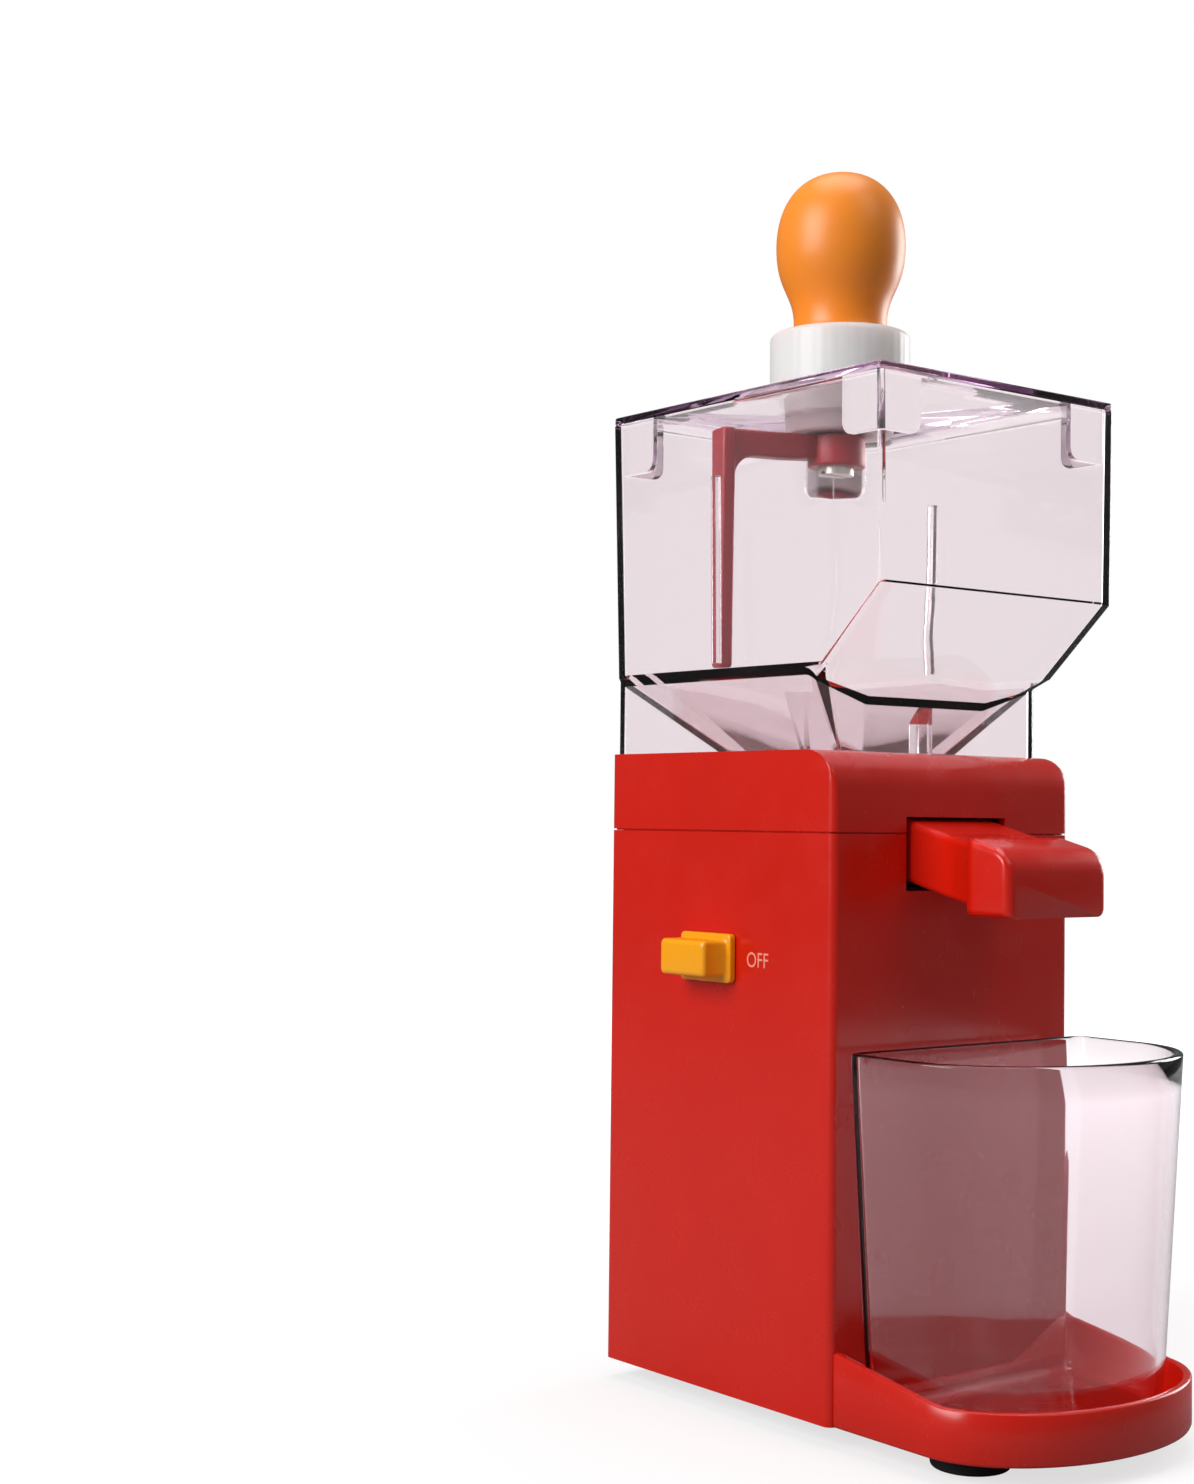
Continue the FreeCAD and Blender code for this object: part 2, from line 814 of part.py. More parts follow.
def switch_contact(y, margin):
    x0 = -inner_x + switch_boss_height + 0.6
    return box(
        x0, -inner_x + switch_box_depth + 4.0, y - 0.4 - margin, y + 0.4 + margin,
        switch_level - 3.0 - margin, switch_level + 3.0 + margin,
    )


def make_switch_contacts():
    return [switch_contact(y, 0.0) for y in switch_contact_places()]


def make_switch_screws():
    screws = []
    for y in switch_screw_places():
        x = -inner_x + switch_boss_height + ear_thick
        head = rod_x(screw_head, x, x + screw_head_thick, y, switch_level)
        screws.append(head.fuse(rod_x(screw_radius, -inner_x, x, y, switch_level)))
    return screws


# Deck, gearbox and gears


def column_places():
    left = gearbox_left + column_inset
    right = gearbox_right - column_inset
    y = gearbox_half - column_inset
    return [(left, -y), (left, y), (right, -y), (right, y)]


def make_deck_plate():
    x = inner_x - slip_gap
    y = inner_y - slip_gap
    plate = box(-x, x, -y, y, deck_z, deck_top)
    cuts = [rod(bearing_radius, deck_z - 1, deck_top + 1)]
    for px, py in corners(post_x, post_y):
        cuts.append(rod(pilot_radius, deck_z - 1, deck_top + 1, px, py))
    for px, py in column_places():
        cuts.append(rod(pilot_radius, deck_z - 1, deck_top + 1, px, py))
    for px, py in housing_screw_places():
        cuts.append(rod(pilot_radius, deck_z - 1, deck_top + 1, px, py))
    return plate.cut(cuts)


def gearbox_block(margin, z0, z1):
    return rounded_box(
        gearbox_left - margin, gearbox_right + margin, -gearbox_half - margin, gearbox_half + margin,
        z0, z1, margin + 2.0,
    )


def make_gearbox_case():
    case = gearbox_block(gearbox_wall, gearbox_z, cover_z)
    case = case.cut(gearbox_block(0, gearbox_inner_z, cover_z + 1))
    extra = [rod(column_radius, gearbox_z, cover_z, x, y) for x, y in column_places()]
    far_y = bolt_y + bolt_post_depth / 2
    near_y = bolt_y - bolt_post_depth / 2
    extra.append(box(-bolt_post_half, bolt_post_half, -far_y, far_y, gearbox_z, gearbox_inner_z))
    for side in (-1, 1):
        low, high = sorted((side * near_y, side * far_y))
        extra.append(box(-bolt_post_half, bolt_post_half, low, high, stack_top, gearbox_z + 0.5))
    extra.append(rod(bearing_boss, upper_bearing_z - 1, gearbox_z + 0.5))
    case = fused([case] + extra)
    cuts = [
        rod(bearing_radius + fit_gap, upper_bearing_z - 2, gearbox_z - 1),
        rod(motor_shaft_radius + 1.0, gearbox_z - 2, gearbox_inner_z + 1),
        rod(idler_pin_radius + fit_gap, gearbox_z + 1, gearbox_inner_z + 1, gear_centres, 0),
    ]
    cuts += [rod(pilot_radius, gearbox_z - 1, cover_z + 1, x, y) for x, y in column_places()]
    hole = bolt_radius + fit_gap
    cuts += [rod(hole, stack_top - 1, gearbox_inner_z + 1, 0, side * bolt_y) for side in (-1, 1)]
    return case.cut(cuts)


def make_gearbox_cover():
    cover = gearbox_block(gearbox_wall, cover_z, deck_z)
    cuts = [
        rod(bearing_radius + fit_gap, cover_z - 1, deck_z + 1),
        rod(idler_pin_radius + fit_gap, cover_z - 1, cover_z + 3, gear_centres, 0),
    ]
    cuts += [rod(pilot_radius, cover_z - 1, deck_z + 1, x, y) for x, y in column_places()]
    return cover.cut(cuts)


def make_gearbox_screws():
    return [screw_up(x, y, gearbox_z, deck_top - 0.5) for x, y in column_places()]


def involute(angle):
    return math.tan(angle) - angle


def make_gear(teeth, z0, z1, x, first_tooth):
    """A spur gear with involute flanks; first_tooth is the direction of one tooth's middle, in degrees."""
    pitch = gear_module * teeth / 2
    base = pitch * math.cos(math.radians(pressure_angle))
    tip = pitch + gear_module * tooth_height
    root = pitch - gear_module * tooth_root
    half_pitch = math.pi / (2 * teeth) - tooth_backlash / (2 * pitch)
    flank = []
    start = max(base, root)
    for step in range(4):
        radius = start + (tip - start) * step / 3
        pressure = math.acos(min(1.0, base / radius))
        spread = half_pitch + involute(math.radians(pressure_angle)) - involute(pressure)
        flank.append((radius, spread))
    if root < base:
        flank.insert(0, (root, flank[0][1]))
    outline = []
    for tooth in range(teeth):
        middle = math.radians(first_tooth) + 2 * math.pi * tooth / teeth
        for radius, spread in flank:
            outline.append((x + radius * math.cos(middle - spread), radius * math.sin(middle - spread)))
        for radius, spread in reversed(flank):
            outline.append((x + radius * math.cos(middle + spread), radius * math.sin(middle + spread)))
    return prism_z(outline, z0, z1)


def make_motor_pinion():
    gear = make_gear(pinion_teeth, pinion_z, pinion_z + gear_face, 0, 0)
    return gear.cut(rod(motor_shaft_radius + fit_gap / 2, pinion_z - 1, pinion_z + gear_face + 1))


def make_idler_gear():
    wheel = make_gear(idler_teeth, pinion_z, pinion_z + gear_face, gear_centres, 180 / idler_teeth)
    hub = rod(idler_pin_radius + 2, pinion_z + gear_face - 1, output_z + 1, gear_centres, 0)
    small = make_gear(idler_pinion_teeth, output_z, output_z + gear_face, gear_centres, 0)
    cluster = fused([wheel, hub, small])
    top = output_z + gear_face + 1
    return cluster.cut(rod(idler_pin_radius + fit_gap, pinion_z - 1, top, gear_centres, 0))


def make_idler_pin():
    return rod(idler_pin_radius, gearbox_z + 1, cover_z + 3, gear_centres, 0)


def make_output_gear():
    gear = make_gear(output_teeth, output_z, output_z + gear_face, 0, 180 / output_teeth)
    return gear.cut(rod(grinder_shaft_radius + fit_gap / 2, output_z - 1, output_z + gear_face + 1))


def make_output_bearing():
    return ring(bearing_radius, grinder_shaft_radius + fit_gap, cover_z + 0.5, deck_z)


# Motor


def make_motor_stator():
    core = rounded_box(-stack_half_x, stack_half_x, -stack_half_y, stack_half_y, stack_z, stack_top, 4.0)
    cuts = [rod(armature_radius + air_gap, stack_z - 1, stack_top + 1)]
    x0 = coil_half - coil_width - coil_gap
    y0 = coil_near - coil_gap
    y1 = coil_near + coil_depth + coil_gap
    window = box(x0, coil_half + coil_gap, y0, y1, stack_z - 1, stack_top + 1)
    cuts += [window, mirrored_x(window), mirrored_y(window), mirrored_x(mirrored_y(window))]
    cuts += [rod(bolt_radius + fit_gap, stack_z - 1, stack_top + 1, 0, side * bolt_y) for side in (-1, 1)]
    return core.cut(cuts)


def make_field_coil():
    """A racetrack of enamelled wire round one pole, standing upright in the windows of the stack."""
    low = stack_z - coil_overhang
    high = stack_top + coil_overhang
    far = coil_near + coil_depth
    outer = box(-coil_half, coil_half, coil_near, far, low, high)
    inner_half = coil_half - coil_width
    inner = box(-inner_half, inner_half, coil_near - 1, far + 1, stack_z - coil_gap, stack_top + coil_gap)
    soft = [e for e in outer.Edges if e.BoundBox.YLength > coil_depth - 1e-3]
    return outer.makeFillet(coil_overhang - 1.0, soft).cut(inner)


def make_field_coils():
    coil = make_field_coil()
    return [coil, mirrored_y(coil)]


def slot_places():
    step = 2 * math.pi / armature_slots
    return [
        (armature_slot_circle * math.cos(i * step), armature_slot_circle * math.sin(i * step))
        for i in range(armature_slots)
    ]


def make_armature_core():
    core = ring(armature_radius, motor_shaft_radius + fit_gap / 2, stack_z, stack_top)
    return core.cut([rod(armature_slot_radius, stack_z - 1, stack_top + 1, x, y) for x, y in slot_places()])


def make_armature_windings():
    heads = [
        ring(winding_radius, motor_shaft_radius + 1.5, stack_z - winding_height, stack_z),
        ring(winding_radius, motor_shaft_radius + 1.5, stack_top, stack_top + winding_height - 1.0),
    ]
    bars = [rod(slot_bar_radius, stack_z - 0.5, stack_top + 0.5, x, y) for x, y in slot_places()]
    return fused(heads + bars)


def make_commutator():
    top = commutator_z + commutator_height
    body = ring(commutator_radius, motor_shaft_radius + fit_gap / 2, commutator_z, top)
    riser = ring(commutator_radius + 1.0, motor_shaft_radius + fit_gap / 2, top, top + 1.5)
    body = body.fuse(riser)
    slots = []
    for i in range(commutator_bars):
        slot = box(commutator_radius - 1.0, commutator_radius + 3.0, -0.3, 0.3, commutator_z - 1, top + 2)
        slots.append(spun(slot, 360 * (i + 0.5) / commutator_bars))
    return body.cut(slots)


def make_brushes():
    z = commutator_z + commutator_height / 2
    x0 = commutator_radius + brush_gap
    half = brush_half_width
    brush = box(x0, x0 + brush_length, -half, half, z - half, z + half)
    return [brush, mirrored_x(brush)]


def make_brush_holders():
    z = commutator_z + commutator_height / 2
    x0 = commutator_radius + 1.5
    half = brush_half_width + brush_holder_wall
    body = box(x0, x0 + brush_length + 1.5, -half, half, bracket_z + bracket_thick, z + half)
    gap = brush_half_width + fit_gap
    channel = box(x0 - 1, x0 + brush_length, -gap, gap, z - gap, z + gap)
    holder = body.cut(channel)
    return [holder, mirrored_x(holder)]


def make_motor_shaft():
    return rod(motor_shaft_radius, motor_shaft_z, motor_shaft_top)


def make_motor_bearings():
    inner = motor_shaft_radius + fit_gap
    return [
        ring(bearing_radius, inner, lower_bearing_z, lower_bearing_z + bearing_width),
        ring(bearing_radius, inner, upper_bearing_z, upper_bearing_z + bearing_width),
    ]


def make_lower_bracket():
    top = bracket_z + bracket_thick
    far_y = bolt_y + bolt_post_depth / 2
    near_y = bolt_y - bolt_post_depth / 2
    arm_x = commutator_radius + brush_length + bracket_arm_extra
    pieces = [
        box(-bolt_post_half, bolt_post_half, -far_y, far_y, bracket_z, top),
        box(-arm_x, arm_x, -bracket_arm_half, bracket_arm_half, bracket_z, top),
        rod(bearing_boss, lower_bearing_z - 1.0, top),
    ]
    for side in (-1, 1):
        low, high = sorted((side * near_y, side * far_y))
        pieces.append(box(-bolt_post_half, bolt_post_half, low, high, top - 0.5, stack_z))
    bracket = fused(pieces)
    cuts = [
        rod(bearing_radius + fit_gap, lower_bearing_z, lower_bearing_z + bearing_width),
        rod(motor_shaft_radius + 1.0, lower_bearing_z - 2, top + 1),
    ]
    cuts += [rod(bolt_radius + fit_gap, bracket_z - 1, stack_z + 1, 0, side * bolt_y) for side in (-1, 1)]
    return bracket.cut(cuts)


def make_motor_bolts():
    bolts = []
    for side in (-1, 1):
        head = rod(bolt_radius * 1.8, bracket_z - 2.5, bracket_z, 0, side * bolt_y)
        bolts.append(head.fuse(rod(bolt_radius, bracket_z, gearbox_inner_z - 0.5, 0, side * bolt_y)))
    return bolts


def make_motor_fan():
    disc = rod(fan_radius, fan_z, fan_z + fan_disc)
    hub = rod(motor_shaft_radius + 3.0, fan_z, fan_z + fan_height)
    blades = []
    for i in range(fan_blades):
        blade = box(motor_shaft_radius + 2.0, fan_radius - 0.5, -0.6, 0.6, fan_z, fan_z + fan_height)
        blades.append(spun(blade, 360 * i / fan_blades))
    fan = fused([disc, hub] + blades)
    return fan.cut(rod(motor_shaft_radius + fit_gap / 2, fan_z - 1, fan_z + fan_height + 1))


# Grinding chamber


def housing_screw_places():
    """Three lugs at the back and the sides, clear of the outlet at the front."""
    radius = housing_radius + lug_standoff
    return [
        (radius * math.cos(math.radians(a)), radius * math.sin(math.radians(a))) for a in (0, 90, 180)
    ]


def make_grinder_housing():
    cup = rod(housing_radius, deck_top, housing_top)
    lugs = [rod(lug_radius, deck_top, deck_top + lug_height, x, y) for x, y in housing_screw_places()]
    low = outlet_mid - outlet_height / 2
    high = outlet_mid + outlet_height / 2
    throat = box(
        -outlet_half - outlet_wall, outlet_half + outlet_wall, flange_y + gasket_thick,
        -chamber_radius + outlet_wall, low - outlet_wall, high + outlet_wall,
    )
    flange = box(
        -flange_half, flange_half, flange_y + gasket_thick, flange_y + gasket_thick + outlet_flange_thick,
        flange_mid - flange_height / 2, flange_mid + flange_height / 2,
    )
    housing = fused([cup, throat, flange] + lugs)
    cuts = [
        rod(chamber_radius, chamber_z, burr_z + 0.5),
        rod(chamber_radius + burr_seat, burr_z, housing_top + 1),
        rod(seal_radius + fit_gap, deck_top - 1, chamber_z + 1),
        box(-outlet_half, outlet_half, flange_y - 1, -chamber_radius + 5.0, low, high),
    ]
    for x, y in housing_screw_places():
        cuts.append(rod(pilot_radius, deck_top - 1, deck_top + lug_height + 1, x, y))
    for side in (-1, 1):
        hole_end = flange_y + gasket_thick + outlet_flange_thick + 1
        cuts.append(rod_y(pilot_radius, flange_y, hole_end, side * flange_screw_x, flange_mid))
    return housing.cut(cuts)


def make_housing_screws():
    screws = []
    for x, y in housing_screw_places():
        top = deck_top + lug_height
        head = rod(screw_head, top, top + screw_head_thick, x, y)
        screws.append(head.fuse(rod(screw_radius, deck_z, top, x, y)))
    return screws


def make_shaft_seal():
    return ring(seal_radius, grinder_shaft_radius + fit_gap, deck_top, chamber_z)


def burr_slots(z0, z1, near, far, count, turn):
    slots = []
    for i in range(count):
        slot = box(near, far, -0.9, 0.9, z0, z1)
        slots.append(spun(slot, 360 * i / count + turn))
    return slots


def make_ring_burr():
    outer = chamber_radius + burr_seat - fit_gap
    profile = [
        (outer, burr_z), (outer, housing_top), (ring_burr_top, housing_top),
        (ring_burr_waist, burr_z + burr_waist_height), (ring_burr_foot, burr_z),
    ]
    burr = turned(profile)
    return burr.cut(burr_slots(
        burr_z - 1, burr_z + burr_waist_height, ring_burr_waist - 2,
        ring_burr_foot + burr_groove_depth, burr_grooves, 0,
    ))


def make_cone_burr():
    foot = ring_burr_foot - grind_gap
    waist = ring_burr_waist - 3 * grind_gap
    profile = [
        (grinder_shaft_radius + fit_gap / 2, burr_z), (foot, burr_z),
        (waist, burr_z + burr_waist_height), (cone_top_radius, cone_top_z),
        (grinder_shaft_radius + fit_gap / 2, cone_top_z),
    ]
    burr = turned(profile)
    return burr.cut(burr_slots(
        burr_z - 1, burr_z + burr_waist_height, foot - 3 * grind_gap, foot + 2,
        burr_grooves, 180 / burr_grooves,
    ))


def make_butter_wiper():
    top = burr_z
    low = chamber_z + wiper_floor_gap
    hub = rod(wiper_hub, low, top)
    arms = []
    for i in range(wiper_arms):
        reach = chamber_radius - wiper_reach_gap
        arm = box(0, reach, wiper_hub - wiper_arm_thick, wiper_hub, low, top - 1.5)
        arms.append(spun(arm.common(rod(reach, low, top)), 360 * i / wiper_arms + 90))
    wiper = fused([hub] + arms)
    return wiper.cut(rod(grinder_shaft_radius + fit_gap / 2, low - 1, top + 1))


def make_nut_breaker():
    top = cone_top_z + breaker_height
    hub = rod(breaker_hub, cone_top_z, top)
    blades = []
    for i in range(breaker_blades):
        outline = [(0, cone_top_z), (4.0, cone_top_z), (2.5, top), (-1.5, top)]
        blade = prism_x(outline, breaker_hub - 1.0, breaker_reach)
        blades.append(spun(blade, 360 * i / breaker_blades))
    breaker = fused([hub] + blades)
    return breaker.cut(rod(grinder_shaft_radius + fit_gap / 2, cone_top_z - 1, top + 1))


def make_burr_nut():
    low = cone_top_z + breaker_height
    points = [
        (nut_radius * math.cos(math.radians(60 * i)), nut_radius * math.sin(math.radians(60 * i)))
        for i in range(6)
    ]
    nut = prism_z(points, low, low + nut_height)
    return nut.cut(rod(grinder_shaft_radius + fit_gap / 2, low - 1, low + nut_height / 2))


def make_grinder_shaft():
    return rod(grinder_shaft_radius, grinder_shaft_z, grinder_shaft_top)


# Spout


def duct_shape(margin, y0, y1):
    """The sloping duct as a prism along X between two planes of constant Y."""
    def top(y):
        return duct_top - margin + duct_fall * (y - front_y)

    drop = duct_height - 2 * margin
    outline = [(y0, top(y0)), (y1, top(y1)), (y1, top(y1) - drop), (y0, top(y0) - drop)]
    return prism_x(outline, -duct_half + margin, duct_half - margin)


def spout_head(margin):
    """The mouth: a box with a rounded brow; margin is the wall that is taken off for the hollow."""
    front = head_front + margin
    back = head_back - margin
    fall = duct_fall * (back - front)
    top = head_top - margin
    low = head_bottom - (1.0 if margin else 0.0)
    outline = [(front, low), (back, low), (back, top), (front, top - fall)]
    half = head_half - margin
    head = prism_x(outline, -half, half)
    brow = [
        e for e in head.Edges
        if e.BoundBox.YMax < front + 1e-6 and e.BoundBox.ZMin > top - fall - 1e-6
    ]
    return head.makeFillet(head_round - margin, brow)


def make_spout():
    duct = duct_shape(0, head_back - 0.5, flange_y)
    long_edges = [
        e for e in duct.Edges
        if e.BoundBox.YLength > 5 and e.BoundBox.XLength < 1e-6
    ]
    duct = duct.makeFillet(duct_edge, long_edges)
    head = spout_head(0)
    sides = []
    for edge in head.Edges:
        place = edge.BoundBox
        on_side = place.XLength < 1e-6 and abs(abs(place.XMin) - head_half) < 1e-6
        if on_side and place.ZMax > head_bottom + 1:
            sides.append(edge)
    head = head.makeFillet(head_edge, sides)
    flange = box(
        -flange_half, flange_half, flange_y - flange_thick, flange_y,
        flange_mid - flange_height / 2, flange_mid + flange_height / 2,
    )
    spout = fused([duct, head, flange])
    channel = duct_shape(duct_wall, head_back - duct_wall - 1.0, flange_y + 1)
    spout = spout.cut([channel, spout_head(duct_wall)])
    for side in (-1, 1):
        x = side * flange_screw_x
        hole = rod_y(pilot_radius, flange_y - flange_thick - 1, flange_y + 1, x, flange_mid)
        spout = spout.cut(hole)
    return spout


def make_spout_gasket():
    plate = box(
        -flange_half, flange_half, flange_y, flange_y + gasket_thick,
        flange_mid - flange_height / 2, flange_mid + flange_height / 2,
    )
    low = outlet_mid - outlet_height / 2
    cuts = [box(-outlet_half, outlet_half, flange_y - 1, flange_y + 3, low, low + outlet_height)]
    for side in (-1, 1):
        cuts.append(rod_y(pilot_radius, flange_y - 1, flange_y + 3, side * flange_screw_x, flange_mid))
    return plate.cut(cuts)


def make_spout_screws():
    screws = []
    for side in (-1, 1):
        y = flange_y - flange_thick
        head = rod_y(screw_head, y - screw_head_thick, y, side * flange_screw_x, flange_mid)
        shank = rod_y(screw_radius, y, flange_y + gasket_thick + 2.5, side * flange_screw_x, flange_mid)
        screws.append(head.fuse(shank))
    return screws


# Hopper


def hopper_half(z):
    """Half the hopper's width at a height; its sides lean out towards the top."""
    return side_x - hopper_side_inset - hopper_side_draft * (hopper_top - z) / (hopper_top - slope_z)


def hopper_rear(z):
    return back_y + hopper_back - hopper_back_draft * (hopper_top - z) / (hopper_top - slope_z)


def hopper_section(front, inset, z, lift=0.0):
    """The box's outline at a height, moved in by the wall for the hollow."""
    return rect(hopper_half(z) - inset, front + inset, hopper_rear(z) - inset, z + lift)


def hopper_body(inset, floor, lip):
    """The box and funnel as one solid; the hollow is the same form moved in by the wall."""
    return loft([
        rect(throat_half + lip, -throat_half - lip, throat_half + lip, floor),
        hopper_section(front_y + hopper_front_end, inset, slope_z, inset * 0.5),
        hopper_section(hopper_front, inset, bend_z, inset * 0.4),
        hopper_section(hopper_front, inset, hopper_top),
    ])


def make_hopper():
    outer = hopper_body(0, throat_z - throat_rise, hopper_wall * 1.2)
    inner = hopper_body(hopper_wall, throat_z, -hopper_wall * 0.2)
    x = hopper_half(slope_z)
    rear = hopper_rear(slope_z)
    skirt = rounded_box(-x, x, skirt_front, rear, hopper_base, slope_z + 1, case_corner)
    skirt = skirt.cut(rounded_box(
        skirt_wall - x, x - skirt_wall, skirt_front + skirt_wall, rear - skirt_wall,
        hopper_base - 1, slope_z + 2, case_corner - skirt_wall / 2,
    ))
    rib_back = skirt_front + skirt_wall + rib_depth
    rib = box(-rib_half, rib_half, skirt_front + 0.5, rib_back, hopper_base, slope_z)
    neck = rod(neck_radius, hopper_base - neck_length, hopper_base + 1)
    shell = fused([outer, skirt.common(hopper_envelope()), rib.common(hopper_envelope()), neck])
    shell = shell.cut(inner)
    rib_foot = hopper_base + wall_rib_rise
    rib_top = rib_foot + wall_rib_height
    wall_rib = box(
        hopper_half(rib_foot) - hopper_wall - wall_rib_depth, hopper_half(rib_top) - hopper_wall + 0.5,
        wall_rib_y - wall_rib_width / 2, wall_rib_y + wall_rib_width / 2, rib_foot, rib_top,
    )
    shell = fused([shell, wall_rib, mirrored_x(wall_rib)])
    return shell.cut(rod(neck_radius - neck_wall, hopper_base - neck_length - 1, throat_z + 2))


def hopper_envelope():
    """Everything below the sloping underside of the funnel and inside the outer walls."""
    return box(-side_x, side_x, front_y, back_y, hopper_base, slope_z)


def make_hopper_gasket():
    inner = neck_radius - neck_wall
    return ring(inner + seal_ring_width, inner, housing_top, housing_top + seal_ring_thick)


# Lid, knob and stirrer


def make_lid():
    x = hopper_half(hopper_top)
    plate = rounded_box(-x, x, hopper_front, hopper_rear(hopper_top), hopper_top, lid_top, 1.5)
    tabs = []
    inset = hopper_wall + tab_gap
    low_z = hopper_top - tab_depth
    for sx in (-1, 1):
        for sy in (-1, 1):
            wall_x = hopper_half(low_z) - inset
            wall_y = (hopper_rear(low_z) if sy > 0 else -hopper_front) - inset
            x0, x1 = sorted((sx * (wall_x - tab_length), sx * wall_x))
            y0, y1 = sorted((sy * (wall_y - tab_length), sy * wall_y))
            block = box(x0, x1, y0, y1, low_z, hopper_top + 0.5)
            hx0, hx1 = sorted((sx * (wall_x - tab_length - 1), sx * (wall_x - tab_thick)))
            hy0, hy1 = sorted((sy * (wall_y - tab_length - 1), sy * (wall_y - tab_thick)))
            tabs.append(block.cut(box(hx0, hx1, hy0, hy1, low_z - 1, hopper_top + 1)))
    lid = fused([plate] + tabs)
    return lid.cut(rod(bush_tube_radius + fit_gap, hopper_top - 1, lid_top + 1))


def make_lid_collar():
    r = bush_collar_radius
    body = rod(r, lid_top, bush_top)
    top_edge = [e for e in body.Edges if e.BoundBox.ZMin > bush_top - 1e-6 and e.BoundBox.XLength > r]
    body = body.makeFillet(bush_collar_round, top_edge)
    stem = rod(bush_tube_radius, hopper_top - bush_tube_length, lid_top + 0.5)
    collar = fused([body, stem])
    return collar.cut([
        rod(bush_recess_radius, bush_top - bush_recess, bush_top + 1),
        rod(knob_bush_radius, hopper_top - bush_tube_length - 1, bush_top + 1),
    ])


def make_knob_bush():
    low = hopper_top - bush_tube_length
    return ring(knob_bush_radius - fit_gap, stir_shaft_radius + fit_gap, low, low + knob_bush_height)


def make_stirrer_shaft():
    return rod(stir_shaft_radius, hub_z, knob_foot_z + knob_socket)


def make_stirring_knob():
    """A pear shaped knob: a flared foot, a narrow neck and a round belly, each run smooth with the next."""
    z = knob_foot_z
    neck_z = z + knob_neck_height
    belly_z = z + knob_belly_height
    top = z + knob_height
    waist = belly_z - neck_z
    crown = top - belly_z
    neck = knob_neck_radius
    belly = knob_belly_radius
    runs = [
        [(knob_foot_radius, z), (neck, z + 0.4 * knob_neck_height), (neck, neck_z)],
        [(neck, neck_z), (neck, neck_z + 0.41 * waist), (belly, belly_z - 0.55 * waist), (belly, belly_z)],
        [(belly, belly_z), (belly, belly_z + 0.58 * crown), (0.66 * belly, top), (0, top)],
    ]
    edges = [
        Part.makeLine(vec(0, 0, top), vec(0, 0, z)),
        Part.makeLine(vec(0, 0, z), vec(knob_foot_radius, 0, z)),
    ]
    for run in runs:
        curve = Part.BezierCurve()
        curve.setPoles([vec(radius, 0, height) for radius, height in run])
        edges.append(curve.toShape())
    knob = Part.Face(Part.Wire(Part.__sortEdges__(edges))).revolve(vec(0, 0, 0), vec(0, 0, 1), 360)
    return knob.cut(rod(stir_shaft_radius + fit_gap / 2, z - 1, z + knob_socket + 0.2))


def make_stirrer_arm():
    """A hub with one flat arm to a tapered bar that hangs close to the hopper's walls."""
    hub = rod(hub_radius, hub_z, hub_top)
    rib_face = hopper_half(hopper_base + wall_rib_rise) - hopper_wall - wall_rib_depth
    far = rib_face - bar_gap
    arm = box(0, far, -arm_width / 2, arm_width / 2, hub_top - arm_depth, hub_top)
    near = far - bar_thick
    low = hub_top - bar_length
    half_top = bar_top_width / 2
    half_low = bar_foot_width / 2
    outline = [(half_low, low), (half_top, hub_top), (-half_top, hub_top), (-half_low, low)]
    bar = prism_x(outline, near, far)
    z = hub_top - arm_depth
    corner = prism_y([(near + 0.5, z + 0.5), (near + 0.5, z - gusset), (near - gusset, z + 0.5)],
                     -arm_width / 2, arm_width / 2)
    hollow = Part.makeCylinder(
        gusset, arm_width + 2, vec(near - gusset, -arm_width / 2 - 1, z - gusset), vec(0, 1, 0),
    )
    stirrer = fused([hub, arm, bar, corner.cut(hollow)])
    stirrer = stirrer.cut(rod(stir_shaft_radius + fit_gap / 2, hub_z - 1, hub_top + 1))
    return spun(stirrer, stirrer_angle)


def make_hub_screw():
    head = rod(stir_shaft_radius + 1.5, hub_z - 2.5, hub_z)
    slot = box(-stir_shaft_radius - 2, stir_shaft_radius + 2, -0.6, 0.6, hub_z - 3.0, hub_z - 1.5)
    return head.cut(slot)


